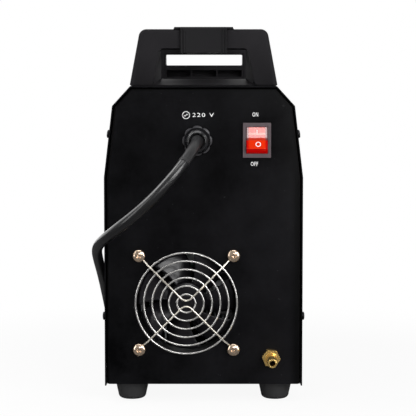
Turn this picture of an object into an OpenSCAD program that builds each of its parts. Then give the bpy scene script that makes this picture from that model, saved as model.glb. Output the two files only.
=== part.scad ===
// Plasma cutter power unit: a sheet steel case on four rubber feet, with a moulded carry handle,
// a cooling fan, mains switch, cable gland and gas inlet at the rear, controls at the front,
// the power electronics inside, and its mains cord run round to the front into a coil.
// Millimetres. The rear panel faces -Y, the control panel faces +Y and +Z is up.

/* [Case] */
// Width over the sides of the sheet cover
case_w = 173; // [168:1:190]
// Length of the cover from its rear edge to its front edge
case_l = 330; // [320:5:380]
// Height of the chassis floor above the ground, which is the height of the feet
foot_h = 16; // [14:1:22]
// Height from the underside of the chassis to the top of the cover
case_h = 260.6; // [258:0.2:280]
// Height above the chassis underside where the cover sides begin to lean in
kink_h = 181.4; // [170:0.2:190]
// Distance that each side leans in up to its shoulder
lean_in = 7.3; // [5:0.1:9]
// Height of the shoulder below the top of the cover
shoulder_drop = 17.2; // [15:0.2:20]
// Distance from the shoulder in to the flat top
shoulder_in = 15.7; // [14:0.1:18]
// Thickness of the cover sheet
cover_t = 1.2; // [1:0.1:1.4]
// Thickness of the panels and the chassis floor
panel_t = 1.5; // [1.2:0.1:2]
// Depth of the folded flanges round the panels
flange_d = 15; // [12:1:18]
// Clearance between sheets that fit inside each other
seam = 0.3; // [0.2:0.05:0.4]

/* [Handle] */
// Distance from the rear edge of the cover to the handle
handle_in = 30; // [20:1:40]
// Clear distance between the two arches
handle_gap = 186; // [150:2:190]
// Length of one arch along the case
arch_t = 20; // [16:1:24]
// Width of the handle at its base
handle_w = 131; // [126:1:136]
// Height of the arches above the cover
arch_h = 50.2; // [46:0.2:56]
// Width of the window through the arches
window_w = 78.6; // [70:0.2:82]
// Height of the window's top above the cover
window_h = 33.4; // [31:0.2:34]
// Thickness of the handle's base plate
sill_t = 6.6; // [5:0.2:8]
// Width of the grip
grip_w = 41.2; // [36:0.2:44]

/* [Fan] */
// Side of the square fan frame
fan_w = 92; // [90:0.5:93]
// Depth of the fan frame
fan_d = 25; // [22:1:28]
// Number of fan blades
fan_blades = 7; // [5:1:9]
// Sideways place of the fan centre
fan_x = -15; // [-18:1:-10]
// Height of the fan centre above the chassis underside
fan_up = 72; // [66:1:80]
// Thickness of the guard wire
wire_d = 1.6; // [1.4:0.1:1.8]
// Number of guard rings
guard_rings = 6; // [5:1:7]

/* [Rear fittings] */
// Width of the rocker switch bezel
switch_w = 24.3; // [23:0.1:26]
// Height of the rocker switch bezel
switch_h = 30.2; // [30:0.1:32]
// Sideways place of the switch
switch_x = 46.3; // [42:0.1:50]
// Height of the switch centre above the chassis underside
switch_up = 213.8; // [208:0.2:216]
// Angle that the rocker turns between its two positions
rocker_turn = 32; // [28:1:32]
// Diameter of the cable gland over its collar
gland_d = 26; // [25:0.5:28]
// Sideways place of the gland
gland_x = -5.4; // [-8:0.1:0]
// Height of the gland above the chassis underside
gland_up = 213.5; // [210:0.5:218]
// Width across the flats of the gas inlet's hexagon
gas_hex = 14; // [13:0.5:17]
// Diameter of the gas inlet's spigot
gas_d = 8; // [7:0.5:9]
// Sideways place of the gas inlet
gas_x = 59.1; // [57:0.1:60]
// Height of the gas inlet above the chassis underside
gas_up = 23.7; // [23:0.1:26]

/* [Front fittings] */
// Diameter of the current knob
knob_d = 34; // [28:1:38]
// Height of the current knob above the chassis underside
knob_up = 152; // [140:1:160]
// Diameter of the torch stud
torch_d = 16; // [14:1:18]
// Bore of the earth socket
earth_bore = 13.2; // [12.8:0.1:14]
// Sideways distance of the torch and earth sockets from the middle
socket_x = 44; // [40:1:48]
// Height of the torch and earth sockets above the chassis underside
socket_up = 56; // [50:1:60]

/* [Cord] */
// Diameter of the mains cord
cord_d = 9; // [8.8:0.1:9.2]
// Radius of the coil's outer loop
coil_r = 58; // [54:1:66]
// Number of loops in the coil
coil_turns = 4.25; // [3.25:1:5.25]

/* [Hidden] */
$fn = 48;

fit = 0.3;              // clearance between pieces that only lie next to each other
run_fit = 0.05;         // radial clearance of a shaft in its bearing
eps = 0.1;              // how far a cut runs past a face

// Case outline: z values are heights above the ground
floor_z = foot_h;
floor_top = floor_z + panel_t;
top_z = floor_z + case_h;
kink_z = floor_z + kink_h;
shoulder_z = top_z - shoulder_drop;
shoulder_x = case_w / 2 - lean_in;
top_x = shoulder_x - shoulder_in;
lean = atan(lean_in / (shoulder_z - kink_z));
cover_lip = 0.5;        // how far the cover reaches past the panels
cover_z = floor_z - 1.4;

// Rear and front fittings set how far the unit reaches, and its middle is the origin
gas_hex_t = 7;
gas_cone = 5;
gas_spigot = 20;
gas_reach = gas_hex_t + gas_cone + gas_spigot;
torch_flange_t = 4;
torch_reach = torch_flange_t + 20;
rear_y = gas_reach / 2 - case_l / 2 - torch_reach / 2;
front_y = rear_y + case_l;
rear_face = rear_y + cover_lip;
front_face = front_y - cover_lip;
rear_in = rear_face + panel_t;
front_in = front_face - panel_t;
panel_out = cover_t + seam;
chassis_x = case_w / 2 - cover_t - seam;

function unit(v) = v / norm(v);
// Moves each side of a convex outline, listed counter-clockwise, inwards by d
function inset(pts, d) = let(n = len(pts)) [
    for (i = [0:n - 1])
        let(a = unit(pts[i] - pts[(i + n - 1) % n]), b = unit(pts[(i + 1) % n] - pts[i]))
        let(p = [-a[1], a[0]], q = [-b[1], b[0]])
        pts[i] + d * (p + q) / (1 + p * q)
];
function case_outline(d, bottom) = inset([
    [case_w / 2, bottom - d], [case_w / 2, kink_z], [shoulder_x, shoulder_z], [top_x, top_z],
    [-top_x, top_z], [-shoulder_x, shoulder_z], [-case_w / 2, kink_z], [-case_w / 2, bottom - d]
], d);
// Replaces each corner of a convex, counter-clockwise outline by an arc of radius r, or of its own
// radius where r is a list
function rounded(pts, r, steps = 5) = let(n = len(pts)) [
    for (i = [0:n - 1])
        let(a = unit(pts[i] - pts[(i + n - 1) % n]), b = unit(pts[(i + 1) % n] - pts[i]))
        let(p = [-a[1], a[0]], q = [-b[1], b[0]], c = is_list(r) ? r[i] : r)
        let(middle = pts[i] + c * (p + q) / (1 + p * q))
        let(from = atan2(-a[0], a[1]), raw = atan2(-b[0], b[1]) - from)
        let(sweep = raw < 0 ? raw + 360 : raw)
        for (k = [0:steps]) middle + c * [cos(from + sweep * k / steps), sin(from + sweep * k / steps)]
];
function side_x(z) = z < kink_z ? case_w / 2 : case_w / 2 - (z - kink_z) * tan(lean);

module along_y(y0, depth) {
    translate([0, y0 + depth, 0]) rotate([90, 0, 0]) linear_extrude(depth) children();
}
module block(x0, x1, y0, y1, z0, z1) {
    translate([x0, y0, z0]) cube([x1 - x0, y1 - y0, z1 - z0]);
}
module rod_y(x, y0, z, r, depth) {
    translate([x, y0, z]) rotate([-90, 0, 0]) cylinder(r = r, h = depth);
}
module cone_y(x, y0, z, r0, r1, depth) {
    translate([x, y0, z]) rotate([-90, 0, 0]) cylinder(r1 = r0, r2 = r1, h = depth);
}
module hex_y(x, y0, z, flats, depth, turn = 0) {
    translate([x, y0, z]) rotate([-90, 0, 0]) rotate([0, 0, turn])
        cylinder(r = flats / 2 / cos(30), h = depth, $fn = 6);
}
module both_sides() {
    for (side = [0, 1]) mirror([side, 0, 0]) children();
}

// Cover screws: two per side at each end, square to the cover
cover_screw_z = [floor_z + 59, floor_z + 219];
cover_screw_y = [rear_in + flange_d * 0.55, front_in - flange_d * 0.55];
cover_screw_r = 2;
cover_head_r = 3.6;
cover_head_t = 2.4;
module at_cover_screws() {
    both_sides() for (y = cover_screw_y, z = cover_screw_z)
        translate([side_x(z), y, z]) rotate([0, z < kink_z ? 90 : 90 - lean, 0]) children();
}

// Feet
foot_r = 14.7;
foot_tip_r = 12.4;
foot_round = 4;
foot_rim = 1.5;
foot_x = case_w / 2 - 23;
foot_in = 22;
foot_y = [rear_face + foot_in, front_face - foot_in];
foot_screw_r = 2.4;
foot_head_r = 4.6;
foot_well_r = foot_head_r + 0.8;
foot_well_h = foot_h / 2;

// Handle
plinth = 0.6;           // shadow gap under the arches
handle_y = rear_y + handle_in;
arch_front_y = handle_y + arch_t + handle_gap;
fairing = 34;           // how far the front arch slopes forward at its base
arch_z = top_z + plinth;
arch_top = top_z + arch_h;
sill_z = top_z + sill_t;
window_top = top_z + window_h;
handle_screw_x = 52;
handle_screw_y = [handle_y + arch_t / 2, arch_front_y + arch_t / 2];
handle_screw_r = 2.5;
handle_screw_up = 16;
strap_t = 10.3;         // grip over the arches
strap_z = arch_top - 8.4;
cap_z = arch_top + fit / 2;
grip_top = strap_z + strap_t;
grip_z = window_top + 0.4;

// Fan
fan_z = floor_z + fan_up;
fan_pitch = fan_w - 9.5;    // between screw centres, 82.5 on a 92 mm fan
fan_open_r = fan_w / 2 - 2;
rotor_r = fan_open_r - 1.7;
hub_r = 17;
hub_wall = 1.6;
shaft_r = 2;
fan_screw_r = 2;
fan_hole_r = fan_screw_r + 0.3;
fan_head_r = 5.5;
fan_head_t = 3;
fan_frame_y = rear_in + fit;
fan_end_y = fan_frame_y + fan_d;
rotor_y = fan_frame_y + 3;
rotor_d = 16;
stator_plate = 3;
stator_y = fan_end_y - stator_plate;
guard_lift = 5;         // height of the guard's ring plane over the panel
guard_first = 8;
ring_pitch = (fan_open_r + 0.25 - guard_first) / (guard_rings - 1);
eyelet_r = 3.4;
module at_fan_screws() {
    for (a = [-1, 1], b = [-1, 1]) translate([fan_x + a * fan_pitch / 2, 0, fan_z + b * fan_pitch / 2])
        children();
}

// Rocker switch: the pivot lies behind the bezel
switch_z = floor_z + switch_up;
bezel_t = 2;
rocker_w = 18.4;
rocker_vee = 10;        // angle of each face of the rocker
rocker_depth = 6.2;     // from the pivot to the bottom of the vee
rocker_r = 12.6;        // the rocker's ends are arcs about the pivot
rocker_gap = 0.3;
bezel_face = rear_face - bezel_t;
pivot_y = bezel_face + rocker_depth * cos(rocker_turn / 2) - 0.3;
switch_body_w = rocker_w + 3.6;
switch_body_h = 2 * (rocker_r + rocker_gap) + 2.2;
switch_body_d = 24;
switch_pin_r = 1.5;

// Cable gland
gland_z = floor_z + gland_up;
gland_collar_t = 5;
gland_reach = 20;
gland_thread_r = 8;
gland_bumps = 8;
gland_mouth_r = 6.65;
gland_rim_r = 9;
gland_bore_r = 5;
gland_end_y = rear_face - gland_reach;

// Gas path
gas_z = floor_z + gas_up;
gas_bore_r = 2.5;
gas_thread_r = 5;
gas_tail = 14;
gas_tail_y = rear_in + 16;
hose_r = 6;
valve_y = gas_tail_y + gas_tail + 20;
valve_w = 28;
valve_d = 30;
valve_top = gas_z + 15;
valve_mid = valve_y + valve_d / 2;
plunger_r = 4.5;
plunger_bore_r = plunger_r + run_fit;
plunger_z = gas_z + 10;
plunger_h = 17;
plunger_travel = 2.5;
spring_z = plunger_z + plunger_h + 0.2;
spring_h = 5.6 * plunger_travel;
tube_r = 6;
tube_cap = 1.5;
tube_top = spring_z + spring_h + 0.2 + tube_cap;
coil_w = 25;

// Power electronics
sink_l = 118;
sink_y = fan_end_y + 14;
sink_z = [floor_top + 6, floor_top + 84];
sink_w = 38;
sink_fin = 2;
sink_fins = 6;
sink_x = [-64, 2];
board_z = sink_z[1] + 14;
board_t = 1.6;
board_x = [-72, 42];
board_y = [sink_y - 4, sink_y + 170];
standoff_r = 3.5;
cap_r = 17.5;
cap_x = -36;
cap_h = 45;
cap_y = [sink_y + 22, sink_y + 62, sink_y + 102];
core_w = 62;
core_d = 54;
core_y = sink_y + sink_l + 12;
core_h = 56;
core_x = -20;
core_leg = 14;
choke_r = 24;
choke_hole_r = 11;
choke_h = 22;
choke_foot = 3;
choke_y = core_y + core_d + 32;

// Control panel
knob_z = floor_z + knob_up;
knob_h = 17;
knob_gap = 0.6;
pot_r = 12;
pot_h = 10;
pot_shaft_r = 3;
bush_r = 4.5;
control_y = front_in - 22;
display_z = knob_z + 52;
display_w = 46;
display_h = 22;
socket_z = floor_z + socket_up;
torch_r = torch_d / 2;
torch_neck_r = torch_r - 0.6;   // relief behind the thread
torch_flange_r = 19;
earth_r = 18;
earth_reach = 14;
earth_depth = 24;
contact_y = front_face + earth_reach - 1 - earth_depth;
trigger_x = 0;
trigger_r = 8;
trigger_z = socket_z + 6;
torch_tail_y = front_in - 24;

// Cord: route of its middle line, from the end of the boot round to the coil
boot_path = [
    [gland_x, gland_end_y + 6, gland_z], [gland_x, gland_end_y - 6, gland_z - 0.3],
    [-7.1, -199, 226.2], [-10.8, -210, 220.5]
];
cord_path = [
    [-16.5, -218.6, 212.6], [-23.7, -224.2, 203.5], [-32, -227.3, 194], [-40.9, -228.3, 184.6],
    [-50.3, -227.5, 175.7], [-59.9, -224.6, 167.4], [-69.2, -219.7, 159.9], [-77.5, -212.3, 153.1],
    [-84, -202.6, 147.4], [-88.4, -191.5, 142.4], [-91.1, -179.8, 137.5], [-92.2, -167.9, 132.3],
    [-92.4, -147.9, 123.4], [-92.1, -119.9, 111.2], [-92, -90, 98], [-92, -60, 84], [-92, -30, 69.5],
    [-92, 0, 54.3], [-92, 30, 38.6], [-92, 60, 23.6], [-92, 90, 12], [-92.5, 120, 6],
    [-93.5, 150, 4.7], [-94.5, 188, 4.7], [-95, 225, 4.7], [-95, 265, 4.7]
];
cord_z = 4.7;
coil_y = 275;
coil_x = -95 + coil_r;
loop_pitch = cord_d + 0.9;
layer_up = cord_d + 0.6;
plug_r = 19;
plug_y = coil_y + coil_r;
plug_tail_x = coil_x + 58;
plug_tail = 16;
plug_l = 34;
pin_r = 2.4;
pin_l = 19;
pin_pitch = 19;

// Points of a smooth curve through a route, with steps pieces between neighbours
function hermite(p, i, n) = i < 0 ? 2 * p[0] - p[1] : i >= n ? 2 * p[n - 1] - p[n - 2] : p[i];
function smooth(p, steps) = let(n = len(p)) concat([
    for (i = [0:n - 2], k = [0:steps - 1])
        let(t = k / steps, a = hermite(p, i - 1, n), b = p[i], c = p[i + 1], d = hermite(p, i + 2, n))
        ((2 * b) + (c - a) * t + (2 * a - 5 * b + 4 * c - d) * t * t
            + (3 * b - a - 3 * c + d) * t * t * t) / 2
], [p[n - 1]]);
function path_length(p) = len(p) < 2 ? 0 : lengths(p, len(p) - 1);
function lengths(p, i) = i == 0 ? 0 : norm(p[i] - p[i - 1]) + lengths(p, i - 1);
function heading(p, i) = unit(p[min(i + 1, len(p) - 1)] - p[max(i - 1, 0)]);

// Tube swept along the points of a route from index a to index b, its ends square to the route
module swept(p, a, b, radii, sides) {
    n = b - a + 1;
    rings = [
        for (i = [a:b])
            let(t = heading(p, i), s = unit(cross([0, 0, 1], t)), u = cross(t, s))
            let(r = radii[0] + (radii[1] - radii[0]) * (i - a) / (b - a))
            for (k = [0:sides - 1])
                let(turn = 360 * (k + 0.5) / sides)
                p[i] + r * (cos(turn) * s + sin(turn) * u)
    ];
    walls = [
        for (i = [0:n - 2], k = [0:sides - 1])
            let(c = i * sides + k, d = i * sides + (k + 1) % sides)
            each [[c, c + sides, d], [d, c + sides, d + sides]]
    ];
    first = [for (k = [1:sides - 2]) [0, k, k + 1]];
    last = [for (k = [1:sides - 2]) let(o = (n - 1) * sides) [o, o + k + 1, o + k]];
    polyhedron(points = rings, faces = concat(walls, first, last), convexity = 8);
}

// Coil: spirals in on the ground, climbs a layer in half a turn, and spirals out on top
coil_steps = 24;
function coil_turn_in(t) = min(t, coil_turns - t);
function climb(t) = let(x = max(0, min(1, (t - coil_turns / 2 + 0.25) * 2))) x * x * (3 - 2 * x);
function coil_point(t) = let(r = coil_r - loop_pitch * coil_turn_in(t), a = 180 - 360 * t)
    [coil_x + r * cos(a), coil_y + r * sin(a), cord_z + layer_up * climb(t)];
coil_loops = [for (i = [1:coil_turns * coil_steps - 1]) coil_point(i / coil_steps)];
coil_end = [coil_x, coil_y + coil_r, cord_z + layer_up];
coil_lead_out = [
    coil_end, coil_end + [14, 0, 0.4], coil_end + [28, 0, 2.2],
    [plug_tail_x - 18, plug_y, plug_r - 0.4],
    [plug_tail_x - 10, plug_y, plug_r],
    [plug_tail_x, plug_y, plug_r]
];
coil_gap = min([
    for (i = [0:len(coil_loops) - 1], j = [i + 12:1:len(coil_loops) - 1])
        norm(coil_loops[i] - coil_loops[j])
]) - cord_d;
// The whole cord is one route, cut into boot, run and coil
route_steps = 2;
hand_route = concat(boot_path, cord_path);
coil_start = [[coil_x - coil_r, coil_y, cord_z]];
route = concat(smooth(hand_route, route_steps), coil_start, coil_loops, coil_lead_out);
boot_end = route_steps * len(boot_path);
run_end = route_steps * (len(hand_route) - 1);
coil_last = len(route) - 1;
echo(str("least gap of the coil to itself = ", coil_gap, " mm"));
echo(str("cord length = ", path_length(route), " mm"));

// ---- Case ----------------------------------------------------------------------------------
chassis_flange = 18;
module chassis() {
    y0 = rear_in + seam;
    y1 = front_in - seam;
    color([0.45, 0.46, 0.48]) difference() {
        union() {
            block(-chassis_x, chassis_x, y0, y1, floor_z, floor_top);
            both_sides() block(chassis_x - panel_t, chassis_x, y0, y1, floor_z, floor_z + chassis_flange);
        }
        for (x = [-foot_x, foot_x], y = foot_y)
            translate([x, y, floor_z - eps]) cylinder(r = foot_screw_r + 0.3, h = panel_t + 2 * eps);
    }
}

// Cuts the fold between a panel's face and its flange to a radius, along one edge of its outline
fold_r = 2.4;
module fold_cut(a, b, face_y, back, turn) {
    e = unit(b - a);
    n = [sin(turn) * e[1], -back * cos(turn), -sin(turn) * e[0]];
    middle = [a[0] - fold_r * e[1], face_y + back * fold_r, a[1] + fold_r * e[0]];
    u = [e[0], 0, e[1]];
    w = cross(u, n);
    o = middle + fold_r * n;
    multmatrix([[u[0], n[0], w[0], o[0]], [u[1], n[1], w[1], o[1]], [u[2], n[2], w[2], o[2]],
        [0, 0, 0, 1]]) translate([-6, 0, -8]) cube([norm(b - a) + 12, 6, 16]);
}
module panel(face_y, inner_y, flange_y) {
    low = floor_z + chassis_flange + 1;
    back = face_y > inner_y ? -1 : 1;
    outline = case_outline(panel_out, floor_z);
    corners = rounded(outline, 2.6, 4);
    difference() {
        union() {
            along_y(min(face_y, inner_y), panel_t) polygon(concat([for (k = [0:4]) corners[k]],
                [for (k = [1:6]) outline[k]], [for (k = [35:39]) corners[k]]));
            along_y(min(inner_y, flange_y), flange_d) difference() {
                polygon(case_outline(panel_out, low));
                polygon(case_outline(panel_out + panel_t, low - 2 * eps));
            }
        }
        for (i = [0:6], turn = [22.5, 45, 67.5])
            fold_cut(outline[i], outline[i + 1], face_y, back, turn);
    }
}

module rear_panel() {
    color([0.06, 0.06, 0.065]) difference() {
        panel(rear_face, rear_in, rear_in);
        rod_y(fan_x, rear_face - eps, fan_z, fan_open_r + 0.5, panel_t + 2 * eps);
        at_fan_screws() rod_y(0, rear_face - eps, 0, fan_hole_r, panel_t + 2 * eps);
        rod_y(gland_x, rear_face - eps, gland_z, gland_thread_r + fit, panel_t + 2 * eps);
        rod_y(gas_x, rear_face - eps, gas_z, gas_thread_r + fit, panel_t + 2 * eps);
        block(switch_x - switch_body_w / 2 - fit, switch_x + switch_body_w / 2 + fit,
            rear_face - eps, rear_in + eps,
            switch_z - switch_body_h / 2 - fit, switch_z + switch_body_h / 2 + fit);
        at_cover_screws() translate([0, 0, -9]) cylinder(r = cover_screw_r + 0.15, h = 12);
    }
}

vent_rows = 5;
vent_pitch = 7;
vent_w = 52;
vent_h = 3;
module front_panel() {
    color([0.06, 0.06, 0.065]) difference() {
        panel(front_face, front_in, front_in - flange_d);
        rod_y(0, front_in - eps, knob_z, bush_r + 0.2, panel_t + 2 * eps);
        block(-display_w / 2, display_w / 2, front_in - eps, front_face + eps,
            display_z - display_h / 2, display_z + display_h / 2);
        for (x = lamp_x) rod_y(x, front_in - eps, display_z, lamp_r + 0.2, panel_t + 2 * eps);
        rod_y(socket_x, front_in - eps, socket_z, torch_r + fit, panel_t + 2 * eps);
        rod_y(-socket_x, front_in - eps, socket_z, earth_thread_r + fit, panel_t + 2 * eps);
        rod_y(trigger_x, front_in - eps, trigger_z, trigger_r + fit, panel_t + 2 * eps);
        for (i = [0:vent_rows - 1])
            translate([-vent_w / 2, front_in - eps, floor_z + 84 + i * vent_pitch])
                cube([vent_w, panel_t + 2 * eps, vent_h]);
        at_cover_screws() translate([0, 0, -9]) cylinder(r = cover_screw_r + 0.15, h = 12);
    }
}

louvre_rows = 9;
louvre_pitch = 9;
louvre_l = 44;
louvre_h = 2.6;
louvre_y = [front_y - 76, front_y - 132, rear_y + 84];
module cover() {
    color([0.07, 0.07, 0.075]) difference() {
        along_y(rear_y, case_l) difference() {
            polygon(case_outline(0, cover_z));
            polygon(case_outline(cover_t, cover_z - 2 * eps));
        }
        both_sides() for (y = louvre_y, i = [0:louvre_rows - 1])
            translate([case_w / 2 - cover_t - eps, y, floor_z + 62 + i * louvre_pitch])
                cube([cover_t + 2 * eps, louvre_l, louvre_h]);
        at_cover_screws() translate([0, 0, -4]) cylinder(r = cover_screw_r + 0.25, h = 8);
        both_sides() for (y = handle_screw_y)
            translate([handle_screw_x, y, top_z - cover_t - eps])
                cylinder(r = handle_screw_r + 0.3, h = cover_t + 2 * eps);
    }
}

module cover_screws() {
    color([0.1, 0.1, 0.1]) at_cover_screws() difference() {
        union() {
            translate([0, 0, -7]) cylinder(r = cover_screw_r, h = 7.5);
            rotate_extrude() polygon([[0, 0], [cover_head_r, 0], [cover_head_r, 1.2],
                [cover_head_r - 0.7, 2.1], [cover_head_r - 1.8, cover_head_t], [0, cover_head_t]]);
        }
        for (turn = [0, 90]) rotate([0, 0, turn])
            translate([-1.9, -0.35, cover_head_t - 1.2]) cube([3.8, 0.7, 2]);
    }
}

// ---- Feet ----------------------------------------------------------------------------------
module foot(x, y) {
    tip = [for (k = [0:6]) [foot_tip_r - foot_round + foot_round * sin(15 * k),
        foot_round - foot_round * cos(15 * k)]];
    color([0.16, 0.16, 0.17]) translate([x, y, 0]) difference() {
        rotate_extrude() polygon(concat([[0, 0]], tip,
            [[foot_r, foot_h - foot_rim], [foot_r, foot_h], [0, foot_h]]));
        translate([0, 0, -eps]) cylinder(r = foot_well_r, h = foot_well_h + eps);
        cylinder(r = foot_screw_r + 0.2, h = foot_h + 1);
    }
}
module foot_rear_left() { foot(-foot_x, foot_y[0]); }
module foot_rear_right() { foot(foot_x, foot_y[0]); }
module foot_front_left() { foot(-foot_x, foot_y[1]); }
module foot_front_right() { foot(foot_x, foot_y[1]); }
module foot_screws() {
    nut_t = 4;
    color([0.6, 0.6, 0.62]) for (x = [-foot_x, foot_x], y = foot_y) translate([x, y, 0]) {
        translate([0, 0, foot_well_h - 3]) cylinder(r = foot_head_r, h = 3);
        translate([0, 0, foot_well_h])
            cylinder(r = foot_screw_r, h = floor_top - foot_well_h + nut_t + 1);
        translate([0, 0, floor_top]) cylinder(r = 4, h = nut_t, $fn = 6);
    }
}

// ---- Handle --------------------------------------------------------------------------------
arch_shoulder = 9.3;    // how far the arch narrows on its way up
arch_outline = [
    [handle_w / 2, arch_z], [handle_w / 2 - arch_shoulder, arch_top],
    [-handle_w / 2 + arch_shoulder, arch_top], [-handle_w / 2, arch_z]
];
arch_corner = 6.8;
arch_edge = [[0, 3.4], [0.4, 1.9], [1.2, 0.7], [2.6, 0]];   // depth and inset of its rounded edge
window_splay = 6;       // how much wider the window's mouth is at the bottom
mouth_half = window_w / 2 + window_splay;
mouth_outline = [
    [mouth_half, arch_z + 0.2], [window_w / 2, window_top],
    [-window_w / 2, window_top], [-mouth_half, arch_z + 0.2]
];
mouth_corner = 5.2;
leg_corner = 3.2;       // the legs' inner corners at the bottom
throat_outline = [
    [window_w / 2 - 1.3, sill_z], [window_w / 2 - 1.3, window_top - 0.8],
    [-window_w / 2 + 1.3, window_top - 0.8], [-window_w / 2 + 1.3, sill_z]
];
see_through_z = top_z + 22;
cell_z = [top_z + 10.4, top_z + 17.2];
cell_rib = 1.5;
cell_depth = 12;
surround = 1.3;         // a shallow step round the window and the cells
module arch_section(d) {
    spread = d * arch_shoulder / (arch_top - arch_z);
    low = arch_z - 0.8 * d;
    polygon(rounded(inset([
        [handle_w / 2 + 0.8 * spread, low], arch_outline[1], arch_outline[2],
        [-handle_w / 2 - 0.8 * spread, low]], d), [1, arch_corner - d, arch_corner - d, 1], 8));
}
module handle_frame() {
    back_y = handle_y + arch_t;
    front_end = arch_front_y + arch_t;
    color([0.16, 0.16, 0.17]) difference() {
        union() {
            hull() {
                for (step = arch_edge) along_y(handle_y + step[0], eps) arch_section(step[1]);
                along_y(back_y - 1, 1) arch_section(0);
            }
            hull() {
                along_y(arch_front_y, arch_t - 5) arch_section(0);
                along_y(front_end - eps, eps) arch_section(4);
                block(-handle_w / 2 + 6, handle_w / 2 - 6, front_end, front_end + fairing,
                    arch_z, arch_z + 4);
            }
            block(-window_w / 2 - 8, window_w / 2 + 8, back_y - eps, arch_front_y + eps, arch_z, sill_z);
            block(-handle_w / 2 + 1.4, handle_w / 2 - 1.4, handle_y + 1.2, front_end + fairing - 2,
                top_z, arch_z + 1);
        }
        hull() {
            along_y(handle_y - eps, eps)
                polygon(rounded(mouth_outline, [1, mouth_corner, mouth_corner, 1]));
            along_y(back_y, eps) polygon(rounded(throat_outline, 1));
        }
        along_y(arch_front_y - eps, arch_t + fairing + 1) polygon(rounded([
            [window_w / 2, see_through_z], [window_w / 2, window_top],
            [-window_w / 2, window_top], [-window_w / 2, see_through_z]], [2, 1, 1, 2]));
        along_y(arch_front_y - eps, 0.8) polygon(rounded(inset([
            [window_w / 2, cell_z[0]], [window_w / 2, window_top],
            [-window_w / 2, window_top], [-window_w / 2, cell_z[0]]], -surround), 2));
        both_sides() along_y(handle_y - eps, 3.2) polygon(concat(
            [[mouth_half - 2.5, arch_z - 1]],
            [for (a = [270:-15:180]) [mouth_half, arch_z] + leg_corner * [1 + cos(a), 1 + sin(a)]],
            [[mouth_half - 2.5, arch_z + leg_corner]]));
        cell_w = (window_w - 2 - 2 * cell_rib) / 3;
        for (i = [-1:1])
            translate([i * (cell_w + cell_rib) - cell_w / 2, arch_front_y - eps, cell_z[0]])
                cube([cell_w, cell_depth, cell_z[1] - cell_z[0]]);
        block(-grip_w / 2 - fit, grip_w / 2 + fit, handle_y - 1, front_end + 3, strap_z - fit, arch_top + 1);
        both_sides() for (y = handle_screw_y)
            translate([handle_screw_x, y, top_z - eps])
                cylinder(r = handle_screw_r + 0.1, h = handle_screw_up);
    }
}

grip_cap_w = 53.2;
flap_z = top_z + 29.2;
flap_t = 2;
grip_rib = 1;           // radius of the two round ribs at each side of the flap
grip_edge = [[0, 2.2], [0.35, 1.1], [1.1, 0.35], [2.2, 0]];
module grip_section(low, width) {
    polygon(rounded([[width / 2, low], [width / 2, grip_top - 1], [-width / 2, grip_top - 1],
        [-width / 2, low]], 2.5));
}
module handle_grip() {
    y0 = handle_y + arch_t + fit;
    y1 = arch_front_y - fit;
    strap_y = handle_y - flap_t - fit;
    strap_end = arch_front_y + arch_t - 6;
    color([0.17, 0.17, 0.18]) {
        union() {
            along_y(y0, y1 - y0) grip_section(grip_z, grip_w);
            translate([-grip_w / 2, 0, 0]) rotate([90, 0, 90]) linear_extrude(grip_w) polygon(concat(
                [for (p = grip_edge) [strap_y + p[0], grip_top - p[1]]],
                [[strap_end, grip_top], [strap_end, strap_z], [strap_y + flap_t, strap_z],
                    [strap_y + flap_t, flap_z], [strap_y, flap_z]]));
            along_y(handle_y + 1.2, strap_end - handle_y - 1.2) polygon(inset([
                [grip_cap_w / 2, cap_z], [grip_cap_w / 2 - 0.8, grip_top],
                [-grip_cap_w / 2 + 0.8, grip_top], [-grip_cap_w / 2, cap_z]], 0));
            both_sides() for (x = [grip_w / 2 - grip_rib, grip_w / 2 - 3.6])
                translate([x, strap_y + 0.2, flap_z]) cylinder(r = grip_rib, h = grip_top - 2.4 - flap_z);
        }
    }
}

module handle_screws() {
    head_t = 3;
    color([0.6, 0.6, 0.62]) both_sides() for (y = handle_screw_y) translate([handle_screw_x, y, 0]) {
        translate([0, 0, top_z - cover_t - fit - head_t]) cylinder(r = 4.5, h = head_t);
        translate([0, 0, top_z - cover_t - fit])
            cylinder(r = handle_screw_r, h = cover_t + fit + handle_screw_up - 1);
    }
}

// ---- Fan -----------------------------------------------------------------------------------
spoke_apex = 2.6;       // the bent spokes pass this far from the fan's centre
spoke_bend = spoke_apex / (sqrt(2) - 1);
spoke_step_r = fan_open_r + 3;      // where the spokes step down to the panel
spoke_step = 5;
wire_sides = 6;
weld = 0.5;             // how far crossing wires sink into each other
guard_y = rear_face - guard_lift;
spoke_y = guard_y - wire_d + weld;
eyelet_y = rear_face - wire_d / 2 - 0.2;
eyelet_at = fan_pitch / sqrt(2);
function arm(side, d, y) = [side * d / sqrt(2), y, d / sqrt(2)];
function spoke_arm(side) = [
    arm(side, eyelet_at - eyelet_r, eyelet_y), arm(side, spoke_step_r + spoke_step, eyelet_y),
    arm(side, spoke_step_r, spoke_y), arm(side, spoke_bend, spoke_y)
];
function turned(list) = [for (i = [len(list) - 1:-1:0]) list[i]];
spoke_route = concat(
    spoke_arm(-1),
    [for (a = [240:15:300]) [spoke_bend * cos(a), spoke_y, spoke_bend * (sqrt(2) + sin(a))]],
    turned(spoke_arm(1))
);
module wire_ring(r, steps) {
    n = wire_sides;
    rings = [
        for (i = [0:steps - 1], k = [0:n - 1])
            let(a = 360 * i / steps, b = 360 * (k + 0.5) / n, q = r + wire_d / 2 * cos(b))
            [q * cos(a), wire_d / 2 * sin(b), q * sin(a)]
    ];
    walls = [
        for (i = [0:steps - 1], k = [0:n - 1])
            let(m = (i + 1) % steps, c = i * n + k, d = i * n + (k + 1) % n)
            let(e = m * n + k, f = m * n + (k + 1) % n)
            each [[c, e, d], [d, e, f]]
    ];
    polyhedron(points = rings, faces = walls, convexity = 4);
}
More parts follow.
